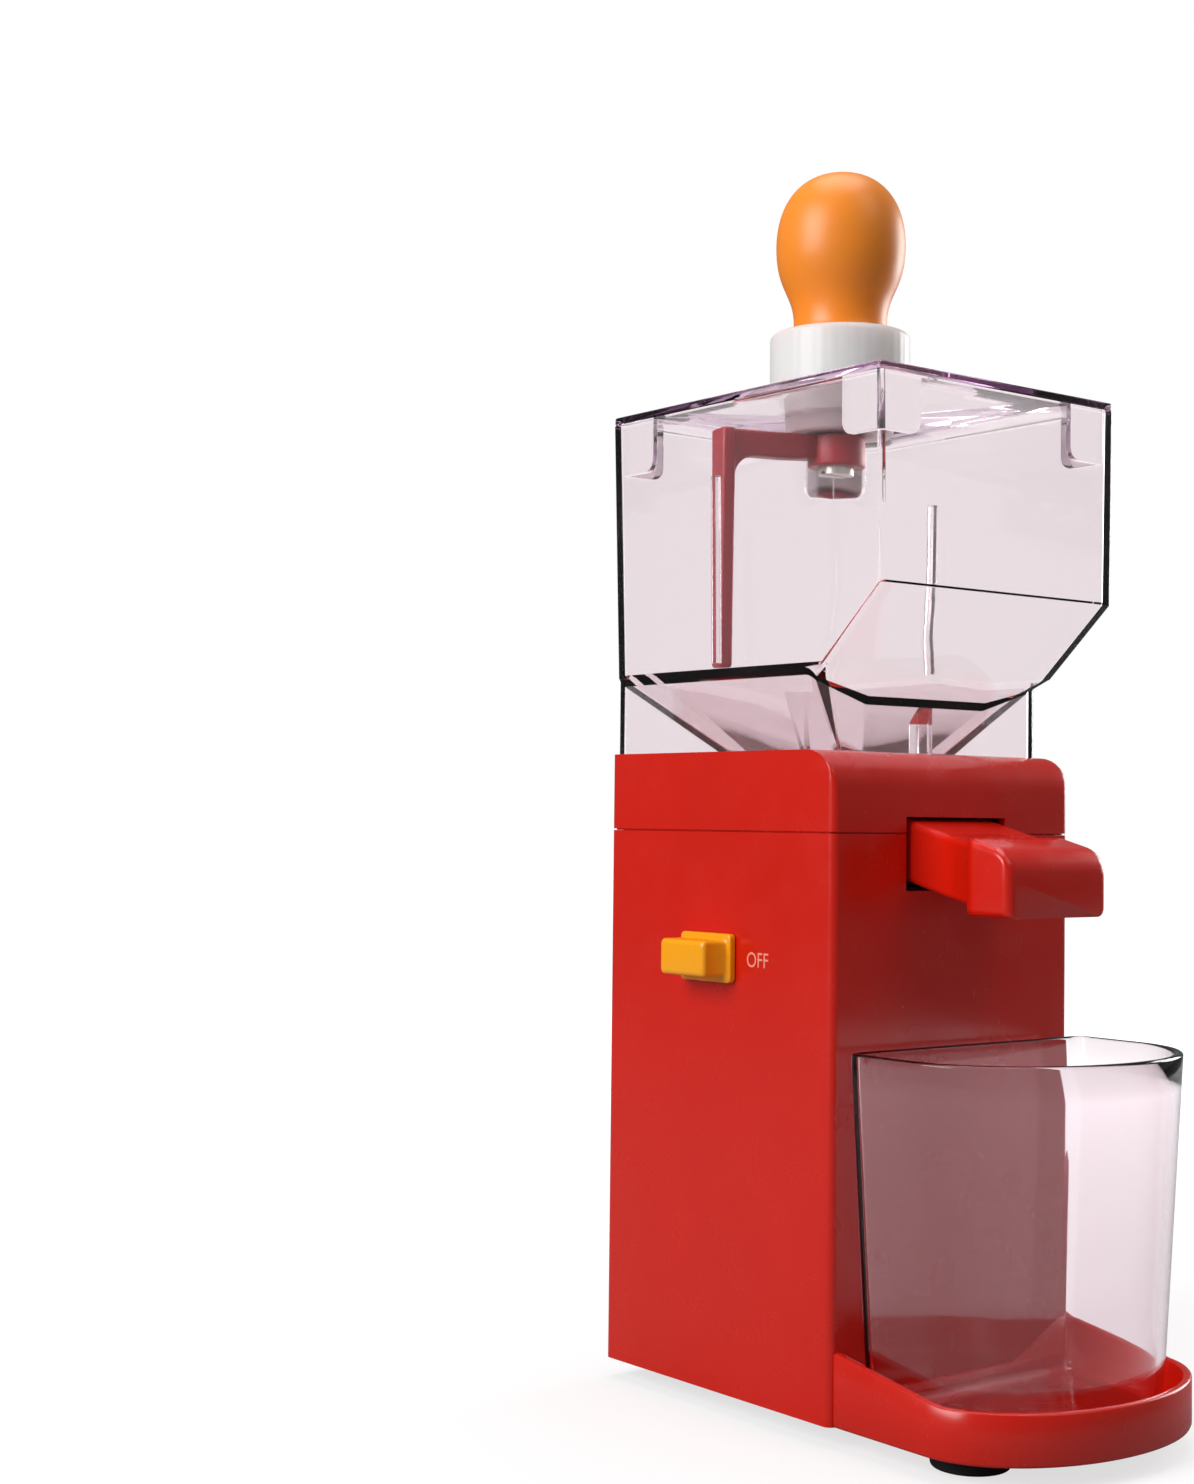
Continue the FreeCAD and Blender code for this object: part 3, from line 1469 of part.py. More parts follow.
nodes = {
    "body_shell": make_body_shell(),
    "top_collar": make_top_collar(),
    "base_plate": make_base_plate(),
    "base_screws": make_base_screws(),
    "collar_screws": make_collar_screws(),
    "rubber_feet": make_rubber_feet(),
    "cord_gland": make_cord_gland(),
    "drip_tray": make_drip_tray(),
    "tray_screws": make_tray_screws(),
    "butter_cup": make_butter_cup(),
    "switch_slider": make_switch_slider(),
    "contact_bridge": make_contact_bridge(),
    "switch_housing": make_switch_housing(),
    "switch_contacts": make_switch_contacts(),
    "switch_screws": make_switch_screws(),
    "deck_plate": make_deck_plate(),
    "gearbox_case": make_gearbox_case(),
    "gearbox_cover": make_gearbox_cover(),
    "gearbox_screws": make_gearbox_screws(),
    "motor_pinion": make_motor_pinion(),
    "idler_gear": make_idler_gear(),
    "idler_pin": make_idler_pin(),
    "output_gear": make_output_gear(),
    "output_bearing": make_output_bearing(),
    "motor_stator": make_motor_stator(),
    "field_coils": make_field_coils(),
    "armature_core": make_armature_core(),
    "armature_windings": make_armature_windings(),
    "commutator": make_commutator(),
    "carbon_brushes": make_brushes(),
    "brush_holders": make_brush_holders(),
    "motor_shaft": make_motor_shaft(),
    "motor_bearings": make_motor_bearings(),
    "lower_bracket": make_lower_bracket(),
    "motor_bolts": make_motor_bolts(),
    "motor_fan": make_motor_fan(),
    "grinder_housing": make_grinder_housing(),
    "housing_screws": make_housing_screws(),
    "shaft_seal": make_shaft_seal(),
    "ring_burr": make_ring_burr(),
    "cone_burr": make_cone_burr(),
    "butter_wiper": make_butter_wiper(),
    "nut_breaker": make_nut_breaker(),
    "burr_nut": make_burr_nut(),
    "grinder_shaft": make_grinder_shaft(),
    "spout": make_spout(),
    "spout_gasket": make_spout_gasket(),
    "spout_screws": make_spout_screws(),
    "hopper": make_hopper(),
    "hopper_gasket": make_hopper_gasket(),
    "lid": make_lid(),
    "lid_collar": make_lid_collar(),
    "knob_bush": make_knob_bush(),
    "stirrer_shaft": make_stirrer_shaft(),
    "stirring_knob": make_stirring_knob(),
    "stirrer_arm": make_stirrer_arm(),
    "hub_screw": make_hub_screw(),
}

os.makedirs("parts", exist_ok=True)
for name, made in nodes.items():
    shape = Part.makeCompound(made) if isinstance(made, list) else made
    solids = shape.Solids
    print(name, len(solids), "solids", round(shape.Volume, 1), "mm3", "valid" if shape.isValid() else "NOT VALID")
    shape.exportStep("parts/" + name + ".step")
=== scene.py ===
import math
import bpy
import numpy as np
from mathutils import Matrix


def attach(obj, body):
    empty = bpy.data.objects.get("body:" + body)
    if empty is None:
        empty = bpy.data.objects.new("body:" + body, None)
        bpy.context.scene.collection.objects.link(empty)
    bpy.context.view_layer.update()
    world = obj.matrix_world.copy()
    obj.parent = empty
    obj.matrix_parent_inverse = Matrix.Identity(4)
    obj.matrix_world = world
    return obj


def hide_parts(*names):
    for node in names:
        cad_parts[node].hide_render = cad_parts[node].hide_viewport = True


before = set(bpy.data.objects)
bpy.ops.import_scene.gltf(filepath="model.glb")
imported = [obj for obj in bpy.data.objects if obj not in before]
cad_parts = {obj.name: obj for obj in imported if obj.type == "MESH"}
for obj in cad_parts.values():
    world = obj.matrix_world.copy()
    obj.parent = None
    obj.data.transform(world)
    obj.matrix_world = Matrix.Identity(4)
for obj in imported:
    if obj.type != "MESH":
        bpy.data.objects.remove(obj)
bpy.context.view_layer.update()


# Case shell. A rectangular tube of glossy red ABS, injection moulded with one gate at the back,
# with a window for the spout, a slot for the switch and a row of vents. The base plate closes it
# from below and the collar from above.
def outline(x0, x1, y0, y1, r, front=(), right=(), back=(), left=(), steps=7):
    """The outline of a rounded rectangle, anticlockwise: four quarter circles of radius r,
    (cx + r cos t, cy + r sin t), with extra points on the straight sides where they are asked."""
    t = np.linspace(0, math.pi / 2, steps)

    def corner(cx, cy, start):
        """A quarter circle about (cx, cy) from an angle on."""
        return np.stack([cx + r * np.cos(t + start), cy + r * np.sin(t + start)], axis=1)

    def side(values, fixed, along_x):
        """Points along one straight side, whose other coordinate is fixed."""
        values = np.asarray(values, float).reshape(-1)
        other = np.full_like(values, fixed)
        return np.stack([values, other] if along_x else [other, values], axis=1)

    return np.concatenate([
        corner(x0 + r, y0 + r, math.pi), side(front, y0, True),
        corner(x1 - r, y0 + r, 1.5 * math.pi), side(right, x1, False),
        corner(x1 - r, y1 - r, 0), side(back, y1, True),
        corner(x0 + r, y1 - r, 0.5 * math.pi), side(left, x0, False),
    ])


def lifted(points, z):
    """Places flat points (n, 2) at a height, or at one height each."""
    return np.column_stack([points, np.broadcast_to(z, len(points))])


def skin(name, rows, wrap=True, loop=False, caps=(False, False), open_at=None):
    """A surface over rows of points (rows, points, 3) in millimetres. Quad (i, j) joins points j
    and j + 1 of rows i and i + 1; wrap closes each row and loop closes the stack; caps fill the
    first and the last row; open_at tells, from the quads' middles, which ones are left out."""
    rows = np.asarray(rows, float)
    n, m = rows.shape[:2]
    i = np.arange(n if loop else n - 1)[:, None]
    j = np.arange(m if wrap else m - 1)[None, :]
    i2 = (i + 1) % n
    j2 = (j + 1) % m
    corners = np.broadcast_arrays(i * m + j, i * m + j2, i2 * m + j2, i2 * m + j)
    quads = np.stack(corners, axis=-1).reshape(-1, 4)
    flat = rows.reshape(-1, 3)
    if open_at is not None:
        x, y, z = flat[quads].mean(axis=1).T
        quads = quads[~open_at(x, y, z)]
    faces = quads.tolist()
    if caps[0]:
        faces.append(list(range(m))[::-1])
    if caps[1]:
        faces.append(list(range((n - 1) * m, n * m)))
    mesh = bpy.data.meshes.new(name)
    mesh.from_pydata((flat / 1000).tolist(), [], faces)
    mesh.update()
    mesh.shade_smooth()
    piece = bpy.data.objects.new(name, mesh)
    bpy.context.scene.collection.objects.link(piece)
    return piece


def fitted(
    piece, body, material, stands_for=(), wall=0.0, edge=0.0, crease=35, even=True,
):
    """Finishes a piece: a wall turned inwards, edges rounded by a few segments, its material, the
    body that it moves with and the solids that it stands for."""
    if wall:
        solid = piece.modifiers.new("wall", "SOLIDIFY")
        solid.thickness = wall / 1000
        solid.offset = -1
        solid.use_even_offset = even
    if edge:
        soft = piece.modifiers.new("soft edges", "BEVEL")
        soft.width = edge / 1000
        soft.segments = 3
        soft.limit_method = "ANGLE"
        soft.angle_limit = math.radians(crease)
        soft.harden_normals = True
    piece.data.materials.append(material)
    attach(piece, body)
    if stands_for:
        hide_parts(*stands_for)
    return piece


def srgb(code):
    """Turns a hex colour, as the eye names it, into the linear values that light adds up in."""
    value = np.array([int(code[k:k + 2], 16) for k in (1, 3, 5)]) / 255
    linear = np.where(value <= 0.04045, value / 12.92, ((value + 0.055) / 1.055) ** 2.4)
    return (*linear.tolist(), 1.0)


def add(tree, kind, sockets=None, **settings):
    """Adds a node with its settings; a socket gets a value, or a link from another node's output.
    A colour mix takes its factor at 0 and colours at 6 and 7, and a range its ends at 1 to 4."""
    node = tree.nodes.new(kind)
    for key, value in settings.items():
        setattr(node, key, value)
    for key, value in (sockets or {}).items():
        if isinstance(value, bpy.types.NodeSocket):
            tree.links.new(value, node.inputs[key])
        else:
            node.inputs[key].default_value = value
    return node


def new_material(name):
    """Makes a material with an empty node tree and gives both."""
    material = bpy.data.materials.new(name)
    material.use_nodes = True
    material.node_tree.nodes.clear()
    return material, material.node_tree


def moulded(name, colour, second, gloss, grain, height, ior=1.53, scatter=0.0):
    """A moulded thermoplastic. The melt's flow drifts the colour slightly between two shades over
    40 mm, the mould's polish or spark texture gives bumps of one grain, in millimetres, of the
    given height, and handling leaves patches of 12 mm that are a little less glossy. Light goes
    some centimetres through a plastic that scatters."""
    material, tree = new_material(name)
    place = add(tree, "ShaderNodeTexCoord").outputs["Object"]
    flow = add(tree, "ShaderNodeTexNoise", {"Vector": place, "Scale": 1000 / 40, "Detail": 2.0})
    shade = add(tree, "ShaderNodeMix", {
        0: flow.outputs[0], 6: srgb(colour), 7: srgb(second),
    }, data_type="RGBA")
    hands = add(tree, "ShaderNodeTexNoise", {"Vector": place, "Scale": 1000 / 12, "Detail": 3.0})
    rough = add(tree, "ShaderNodeMapRange", {
        0: hands.outputs[0], 1: 0.35, 2: 0.7, 3: gloss, 4: gloss + 0.07,
    })
    mould = add(tree, "ShaderNodeTexNoise", {"Vector": place, "Scale": 1000 / grain, "Detail": 1.0})
    bump = add(tree, "ShaderNodeBump", {
        "Height": mould.outputs[0], "Distance": height / 1000, "Strength": 0.6,
    })
    shader = add(tree, "ShaderNodeBsdfPrincipled", {
        "Base Color": shade.outputs[2], "Roughness": rough.outputs[0], "Normal": bump.outputs[0],
        "IOR": ior, "Subsurface Weight": scatter, "Subsurface Radius": (0.03, 0.028, 0.026),
        "Subsurface Scale": 1.0,
    })
    add(tree, "ShaderNodeOutputMaterial", {"Surface": shader.outputs[0]})
    return material


# Polished ABS: the skin reflects the room softly, with a slight orange peel, 3 mm wide
red_abs = moulded("red ABS, polished mould", "#D61A06", "#CB1704", 0.22, 3.0, 0.004)
case_half, case_front, case_back = 50.1, -51, 51
case_corner, case_wall, case_edge = 2.5, 2.5, 0.9
case_foot, seam = 6, 172
window_half, window_sill = 21, 155.5
slot_front, slot_back, slot_low, slot_high = -2.05, 12.55, 130.95, 138.05
vent_half, vent_low, vent_pitch, vent_height, vent_count = 13, 40, 7, 3, 5
shell_outline = outline(
    -case_half, case_half, case_front, case_back, case_corner, front=(-window_half, 0, window_half),
    right=(-25, 0, 25), back=(vent_half, 0, -vent_half), left=(30, slot_back, slot_front, -25),
)
vent_rows = vent_low + vent_pitch * np.arange(vent_count)
shell_heights = np.sort(np.concatenate([
    [case_foot, 20, 90, slot_low, slot_high, window_sill, seam], vent_rows, vent_rows + vent_height,
]))


def shell_window(x, y, z):
    """True in the spout's window, in the switch's slot and in the vents."""
    window = (y < case_front + 1) & (abs(x) < window_half) & (z > window_sill)
    slot = (y > slot_front) & (y < slot_back) & (z > slot_low) & (z < slot_high)
    vents = (abs(x) < vent_half) & (z > vent_low) & (z < vent_rows[-1] + vent_height)
    row = (z - vent_low) % vent_pitch < vent_height
    return window | (slot & (x < 0.5 - case_half)) | (vents & row & (y > case_back - 0.5))


shell = skin("case_shell", [lifted(shell_outline, z) for z in shell_heights], open_at=shell_window)
fitted(shell, "casing", red_abs, ["body_shell"], wall=case_wall, edge=case_edge)

# OFF mark. Pad printed on the left wall in pale pink ink beside the switch. The ink is a thin,
# dull film that stands 0.03 mm off the wall.
mark_front, mark_low, mark_width, mark_height = -14.8, 132.4, 9.3, 4.4
mark_curve = bpy.data.curves.new("mark", "FONT")
mark_curve.body = "OFF"
mark_source = bpy.data.objects.new("mark_source", mark_curve)
bpy.context.scene.collection.objects.link(mark_source)
bpy.context.view_layer.update()
evaluated = mark_source.evaluated_get(bpy.context.evaluated_depsgraph_get())
mark_mesh = bpy.data.meshes.new_from_object(evaluated)
bpy.data.objects.remove(mark_source)
ink = np.empty(len(mark_mesh.vertices) * 3)
mark_mesh.vertices.foreach_get("co", ink)
ink = ink.reshape(-1, 3)[:, :2]
ink = (ink - ink.min(axis=0)) / (ink.max(axis=0) - ink.min(axis=0))
on_wall = np.column_stack([
    np.full(len(ink), -case_half - 0.03),
    mark_front - mark_width * ink[:, 0], mark_low + mark_height * ink[:, 1],
])
mark_mesh.vertices.foreach_set("co", on_wall.ravel() / 1000)
mark_mesh.update()
mark = bpy.data.objects.new("off_mark", mark_mesh)
bpy.context.scene.collection.objects.link(mark)
pink_ink = moulded("pale pink printing ink", "#F2A08C", "#EE9684", 0.45, 0.4, 0.002)
fitted(mark, "casing", pink_ink)

# Top collar. The same red ABS: a cap that closes the case, with a broad round over its front edge
# and a hole that the hopper's neck drops into. Its lip slides into the shell behind a shadow gap.
collar_top, brow_radius, shadow_gap, window_head, neck_hole = 196, 11.5, 0.5, 177.0, 24.1
brow_start = collar_top - brow_radius
collar_round = np.linspace(0, math.pi / 2, 9)[1:]
collar_levels = [seam + shadow_gap, window_head, brow_start]
collar_levels += [*(brow_start + brow_radius * np.sin(collar_round))]
collar_fronts = [case_front] * 3 + [*(case_front + brow_radius * (1 - np.cos(collar_round)))]
collar_outline = outline(
    -case_half, case_half, case_front, case_back, case_corner,
    front=(-window_half, -7, 7, window_half),
    right=(-38, -20, 0, 20, 38), back=(36, 12, -12, -36), left=(38, 20, 0, -20, -38),
)
collar_rows = [
    lifted(np.column_stack([collar_outline[:, 0], np.maximum(collar_outline[:, 1], front)]), level)
    for level, front in zip(collar_levels, collar_fronts)
]
toward = np.arctan2(collar_rows[-1][:, 1], collar_rows[-1][:, 0])
hole_edge = neck_hole * np.column_stack([np.cos(toward), np.sin(toward)])
collar_rows.append(lifted(hole_edge, collar_top))


def collar_window(x, y, z):
    """True in the part of the spout's window that is cut into the collar and its lip."""
    return (y < case_front + 3) & (abs(x) < window_half) & (z < window_head)


collar = skin("case_collar", collar_rows, open_at=collar_window)
fitted(collar, "casing", red_abs, ["top_collar"], wall=case_wall, edge=case_edge)
lip_rows = [
    lifted(outline(
        inset - case_half, case_half - inset, case_front + inset, case_back - inset, 3.6 - inset,
        front=(-window_half, 0, window_half),
    ), seam + rise)
    for inset, rise in ((2.6, -4.0), (2.6, 0.05), (0.5, 0.05), (0.5, 0.65))
]
lip = skin("collar_lip", lip_rows, open_at=collar_window)
fitted(lip, "casing", red_abs, ["top_collar"], wall=1.2)


# Base plate. Black glass filled nylon with vents, held by four screws that go up into the case.
# The spark eroded mould leaves it matte.
def dressed(material, *names):
    """Gives solids of the frame their material."""
    for name in names:
        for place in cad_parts[name].material_slots:
            place.material = material


black_nylon = moulded("black nylon, spark textured", "#1B1B1D", "#232325", 0.55, 0.7, 0.03)
dressed(black_nylon, "base_plate")


# Screws. Zinc plated steel, rolled and tumbled: grey with a slight sparkle and faint turning marks.
def metal(name, colour, second, rough, grain, height, stretch=(1, 1, 1)):
    """A metal surface: two shades over the grain's noise, and the same noise as fine bumps.
    stretch lengthens the grain along an axis, as grinding or turning does."""
    material, tree = new_material(name)
    place = add(tree, "ShaderNodeTexCoord").outputs["Object"]
    along = add(tree, "ShaderNodeMapping", {"Vector": place, "Scale": stretch})
    marks = add(tree, "ShaderNodeTexNoise", {
        "Vector": along.outputs[0], "Scale": 1000 / grain, "Detail": 3.0,
    })
    shade = add(tree, "ShaderNodeMix", {
        0: marks.outputs[0], 6: srgb(colour), 7: srgb(second),
    }, data_type="RGBA")
    rub = add(tree, "ShaderNodeMapRange", {
        0: marks.outputs[0], 1: 0.3, 2: 0.7, 3: rough - 0.05, 4: rough + 0.08,
    })
    bump = add(tree, "ShaderNodeBump", {
        "Height": marks.outputs[0], "Distance": height / 1000, "Strength": 0.5,
    })
    shader = add(tree, "ShaderNodeBsdfPrincipled", {
        "Base Color": shade.outputs[2], "Roughness": rub.outputs[0], "Normal": bump.outputs[0],
        "Metallic": 1.0,
    })
    add(tree, "ShaderNodeOutputMaterial", {"Surface": shader.outputs[0]})
    return material


zinc = metal("zinc plated steel", "#B9B8B2", "#A3A29B", 0.34, 0.8, 0.01)
dressed(
    zinc, "base_screws", "collar_screws", "tray_screws", "switch_screws", "gearbox_screws",
    "motor_bolts", "housing_screws", "spout_screws", "hub_screw", "burr_nut",
)


# Feet. Black rubber pads, compression moulded, pushed into the base and the tray by a stem. The
# rubber is dull and swallows nearly all light.
def turned(name, profile, x=0.0, y=0.0, count=64, along_y=False, caps=(True, True), loop=False):
    """A surface of revolution: a profile of (radius, height) pairs turned through a full circle,
    upright about (x, y), or lying along Y with (x, y) taken as its place in X and Z."""
    profile = np.asarray(profile, float)
    t = np.linspace(0, 2 * math.pi, count, endpoint=False)
    a = profile[:, :1] * np.cos(t)
    b = profile[:, :1] * np.sin(t)
    h = np.broadcast_to(profile[:, 1:], a.shape)
    rows = np.stack([x + b, h, y + a] if along_y else [x + a, y + b, h], axis=-1)
    return skin(name, rows, caps=caps, loop=loop)


def arc(cx, cz, r, start, end, steps=8):
    """Points (cx + r cos t, cz + r sin t) for t from start to end, in degrees."""
    t = np.radians(np.linspace(start, end, steps))
    return np.column_stack([cx + r * np.cos(t), cz + r * np.sin(t)])


rubber = moulded("black rubber, pressed", "#101011", "#18181A", 0.72, 0.5, 0.02, ior=1.52)
foot_profile = np.concatenate([
    arc(10.0, 1.0, 1.0, -90, 0), [[11.9, 5.0]], arc(11.6, 5.2, 0.8, 0, 90),
    [[3.0, 6.0], [3.0, 8.0]],
])
for k, (x, y) in enumerate([(-28.5, -84), (28.5, -84), (-21.6, 34.75), (21.6, 34.75)]):
    foot = turned("foot_%d" % k, foot_profile, x, y)
    fitted(foot, "casing", rubber, ["rubber_feet"])

# Cord inlet. A black nylon bushing, moulded in one piece with its nut, in the back wall. A groove
# in its side holds it in the wall.
gland_height = 28
gland_profile = np.concatenate([
    [[3.3, 44.5], [8.5, 44.5], [8.5, 48.5], [6.0, 48.5], [6.0, 51], [8.5, 51]],
    arc(7.5, 53, 1.0, 0, 90), arc(4.3, 53, 1.0, 90, 180),
])
gland = turned(
    "cord_bushing", gland_profile, 0, gland_height, along_y=True, caps=(False, False), loop=True,
)
fitted(gland, "casing", black_nylon, ["cord_gland"])

# Deck, gearbox and gears. Glass filled nylon cases in grey, acetal wheels cut to module 0.8, a
# steel pinion and pin, and sintered bronze bearings that hold oil in their pores.
# The glass leaves the nylon dull, acetal is milky and waxy, and oil darkens the bronze
grey_nylon = moulded("grey glass filled nylon", "#6E7074", "#7A7C80", 0.5, 0.8, 0.03)
acetal = moulded("natural acetal", "#E6E2D6", "#DCD8CB", 0.38, 1.2, 0.008, ior=1.48)
ground_steel = metal("ground steel shaft", "#B4B4B6", "#98989B", 0.26, 0.6, 0.006, (1, 1, 0.12))
bronze = metal("sintered bronze", "#A77B42", "#8C6232", 0.42, 0.5, 0.02)
dressed(black_nylon, "deck_plate")
dressed(grey_nylon, "gearbox_case", "gearbox_cover")
dressed(acetal, "idler_gear", "output_gear")
dressed(ground_steel, "motor_pinion", "idler_pin")
dressed(bronze, "output_bearing", "motor_bearings")


# Motor. Stacks of sheets of electrical steel, enamelled copper windings, a brass commutator with
# carbon brushes, and a nylon fan, held by a die cast bracket and two long bolts.
def banded(name, colour, second, pitch, direction, metallic, rough):
    """Stripes of one pitch, in millimetres, along X, Y or Z, as colour and as a shallow relief."""
    material, tree = new_material(name)
    place = add(tree, "ShaderNodeTexCoord").outputs["Object"]
    stripes = add(tree, "ShaderNodeTexWave", {
        "Vector": place, "Scale": 1000 * math.pi / (10 * pitch), "Distortion": 0.3, "Detail": 1.0,
    }, bands_direction=direction)
    shade = add(tree, "ShaderNodeMix", {
        0: stripes.outputs[1], 6: srgb(colour), 7: srgb(second),
    }, data_type="RGBA")
    bump = add(tree, "ShaderNodeBump", {
        "Height": stripes.outputs[1], "Distance": pitch / 6000, "Strength": 0.7,
    })
    shader = add(tree, "ShaderNodeBsdfPrincipled", {
        "Base Color": shade.outputs[2], "Roughness": rough, "Normal": bump.outputs[0],
        "Metallic": metallic,
    })
    add(tree, "ShaderNodeOutputMaterial", {"Surface": shader.outputs[0]})
    return material


# Varnish leaves the sheets dark with a soft shine; enamel makes the copper glossy and deeper red
laminations = banded("varnished electrical steel", "#4A4A4E", "#2E2E31", 1.0, "Z", 0.8, 0.45)
copper = banded("enamelled copper wire", "#B4622E", "#7C3A18", 0.8, "Z", 0.7, 0.3)
brass = metal("rolled brass", "#D2AC5A", "#C09848", 0.25, 0.9, 0.006)
carbon = moulded("pressed carbon", "#161617", "#222224", 0.6, 0.3, 0.01)
die_cast = metal("die cast aluminium", "#B5B7BA", "#A2A4A8", 0.42, 0.9, 0.02)
dressed(laminations, "motor_stator", "armature_core")
dressed(copper, "field_coils", "armature_windings")
dressed(brass, "commutator", "switch_contacts", "contact_bridge")
dressed(carbon, "carbon_brushes")
dressed(black_nylon, "brush_holders")
dressed(ground_steel, "motor_shaft")
dressed(die_cast, "lower_bracket")
dressed(grey_nylon, "motor_fan")

# Grinding chamber. A black nylon housing with a stainless ring burr, and on its steel shaft a
# cone burr, an acetal wiper and a nut breaker. A silicone ring seals the shaft.
# Grinding leaves fine marks on the steel; silicone is soft to the eye, with hardly a highlight
burr_steel = metal("ground stainless burrs", "#A9AAAC", "#8A8B8E", 0.3, 0.7, 0.01)
silicone = moulded("grey silicone", "#C9C6C2", "#BFBCB8", 0.5, 0.8, 0.01, ior=1.42)
dressed(black_nylon, "grinder_housing")
dressed(burr_steel, "ring_burr", "cone_burr")
dressed(acetal, "butter_wiper", "nut_breaker", "knob_bush")
dressed(ground_steel, "grinder_shaft", "stirrer_shaft")
dressed(silicone, "shaft_seal", "spout_gasket", "hopper_gasket")

# Spout. Red ABS in one moulding: a square duct that slopes down out of the case, and a head with
# a rounded brow, open below. Its flange is screwed to the chamber's outlet inside the case. Its
# red is painted a shade lighter than the case's, as painted light on the head, and as glossy.
duct_half, duct_height, duct_fall, duct_corner, duct_level = 19, 18, 0.262, 2.0, 175.5
head_half, head_low, head_high, head_front, head_depth = 21, 149, 171.29, -90, 15.3
brow_round, side_round, lip_width = 6.0, 2.5, 2.0
head_depths = np.unique(np.concatenate([
    [head_depth, head_depth - lip_width, 9.0, lip_width],
    brow_round - brow_round * np.cos(np.linspace(math.pi / 2, 0, 9)),
    side_round - side_round * np.cos(np.linspace(0, math.pi / 2, 5)),
]))[::-1]


def spout_ring(half, low, high, r, y):
    """One section of the spout across Y: a rounded rectangle of X and Z."""
    ring = outline(-half, half, low, high, r, front=(1 + r - half, 0, half - r - 1))
    return np.column_stack([ring[:, 0], np.full(len(ring), y), ring[:, 1]])


def duct_ring(y):
    """The duct's section; its top falls evenly from its level at the case front."""
    top = duct_level + duct_fall * (y - case_front)
    return spout_ring(duct_half, top - duct_height, top, duct_corner, y)


def rounded_off(depth, r):
    """What a round of radius r takes off at a depth behind the face: r - sqrt(r^2 - (r - d)^2)."""
    return r - math.sqrt(max(0.0, r ** 2 - (r - min(depth, r)) ** 2))


def head_ring(depth):
    """The head's section at a depth behind its face, with its brow and its sides rounded off."""
    top = head_high - duct_fall * (head_depth - depth) - rounded_off(depth, brow_round)
    half = head_half - rounded_off(depth, side_round)
    return spout_ring(half, head_low, top, side_round, head_front + depth)


def mouth(x, y, z):
    """True in the opening under the head, inside a rim of one lip's width."""
    across = abs(x) < head_half - lip_width - 0.1
    along = (y > head_front + lip_width) & (y < head_front + head_depth - lip_width)
    return (z < head_low + 0.2) & across & along


spout_rows = [duct_ring(y) for y in (-38, -45, -51, -62, -74.65)]
spout_rows += [head_ring(depth) for depth in head_depths]
# painted light: the spout's red is a lit copy of the case's red, a shade lighter for the light that
# falls on the head
red_spout_painted_lighter = moulded("red ABS of the spout", "#DE1C08", "#D21806", 0.22, 3.0, 0.004)
spout = skin("spout_duct_and_head", spout_rows, caps=(False, True), open_at=mouth)
fitted(spout, "casing", red_spout_painted_lighter, ["spout"], wall=lip_width, crease=40, even=False)

# Power switch. A yellow ABS key on a thin plate that slides in a slot of the left wall; inside,
# it pushes a brass bridge between two contacts in a black housing. Polished like the case.
yellow_abs = moulded("yellow ABS", "#FFAC0C", "#FAA208", 0.26, 2.0, 0.004)
plate_box, plate_corner, plate_edge = (-9.75, 13.15, 127.25, 141.75), 1.5, 0.6
plate_back, plate_face = -50.4, -51.8
grip_box, grip_corner, grip_edge = (-7.7, 12.7, 129.15, 139.85), 1.3, 1.5
grip_root, grip_face = -52.9, -59.5


def key_ring(y0, y1, z0, z1, r, x):
    """One section of the key across X: a rounded rectangle of Z and Y."""
    ring = outline(z0, z1, y0, y1, r)
    return np.column_stack([np.full(len(ring), x), ring[:, 1], ring[:, 0]])


def shrunk(box, by):
    """A box of (y0, y1, z0, z1) with each side moved in."""
    y0, y1, z0, z1 = box
    return y0 + by, y1 - by, z0 + by, z1 - by


def rolled(box, edge, corner, face):
    """The sections of an edge rounded outwards from a face: inset e (1 - cos a), height e sin a."""
    return [
        key_ring(*shrunk(box, edge * (1 - math.cos(a))), corner, face - edge * math.sin(a))
        for a in np.radians(np.linspace(0, 90, 6))
    ]


key_rows = [key_ring(*plate_box, plate_corner, plate_back)]
key_rows += rolled(plate_box, plate_edge, plate_corner, plate_face)
key_rows += [key_ring(*shrunk(grip_box, -0.4), plate_corner, grip_root + 0.5)]
key_rows += [key_ring(*grip_box, grip_corner, grip_root)]
key_rows += rolled(grip_box, grip_edge, grip_corner, grip_face)
key = skin("switch_key_and_plate", key_rows, caps=(True, True))
fitted(key, "switch_key", yellow_abs, ["switch_slider"], edge=0.15, crease=50)
dressed(black_nylon, "switch_housing")


# Drip tray. Red ABS, a shallow D shaped dish that hooks into the front of the case; its rim is
# higher at the case than in front. Two screws through the base plate hold its tongues.
def d_shape(half, y_back, y_turn, y_front, r, steps=40):
    """A D seen from above, anticlockwise: half an ellipse (half cos t, y_turn + depth sin t) in
    front, straight sides, and a flat back with corners of radius r."""
    t = np.linspace(math.pi, 2 * math.pi, steps)
    bow = np.column_stack([half * np.cos(t), y_turn + (y_turn - y_front) * np.sin(t)])
    q = np.linspace(0, math.pi / 2, 7)
    right = np.column_stack([half - r + r * np.cos(q), y_back - r + r * np.sin(q)])
    left = np.column_stack([-half + r - r * np.sin(q), y_back - r + r * np.cos(q)])
    straight = np.linspace(y_turn, y_back - r, 4)[1:-1]
    up = np.column_stack([np.full(2, half), straight])
    across = np.column_stack([np.array([0.5, 0.0, -0.5]) * half, np.full(3, y_back)])
    down = np.column_stack([np.full(2, -half), straight[::-1]])
    return np.concatenate([bow, up, right, across, left, down])


tray_half, tray_turn, tray_front, tray_wall, tray_floor = 48.9, -86, -119, 2.5, 2.5
rim_at_case, rim_drop, rim_run, tray_back_height = 27, 6.7, 40, 15.0


def tray_rim(y):
    """The rim's height: it falls evenly over its run in front of the case, then is level."""
    return rim_at_case - rim_drop * np.clip((case_front - y) / rim_run, 0, 1)


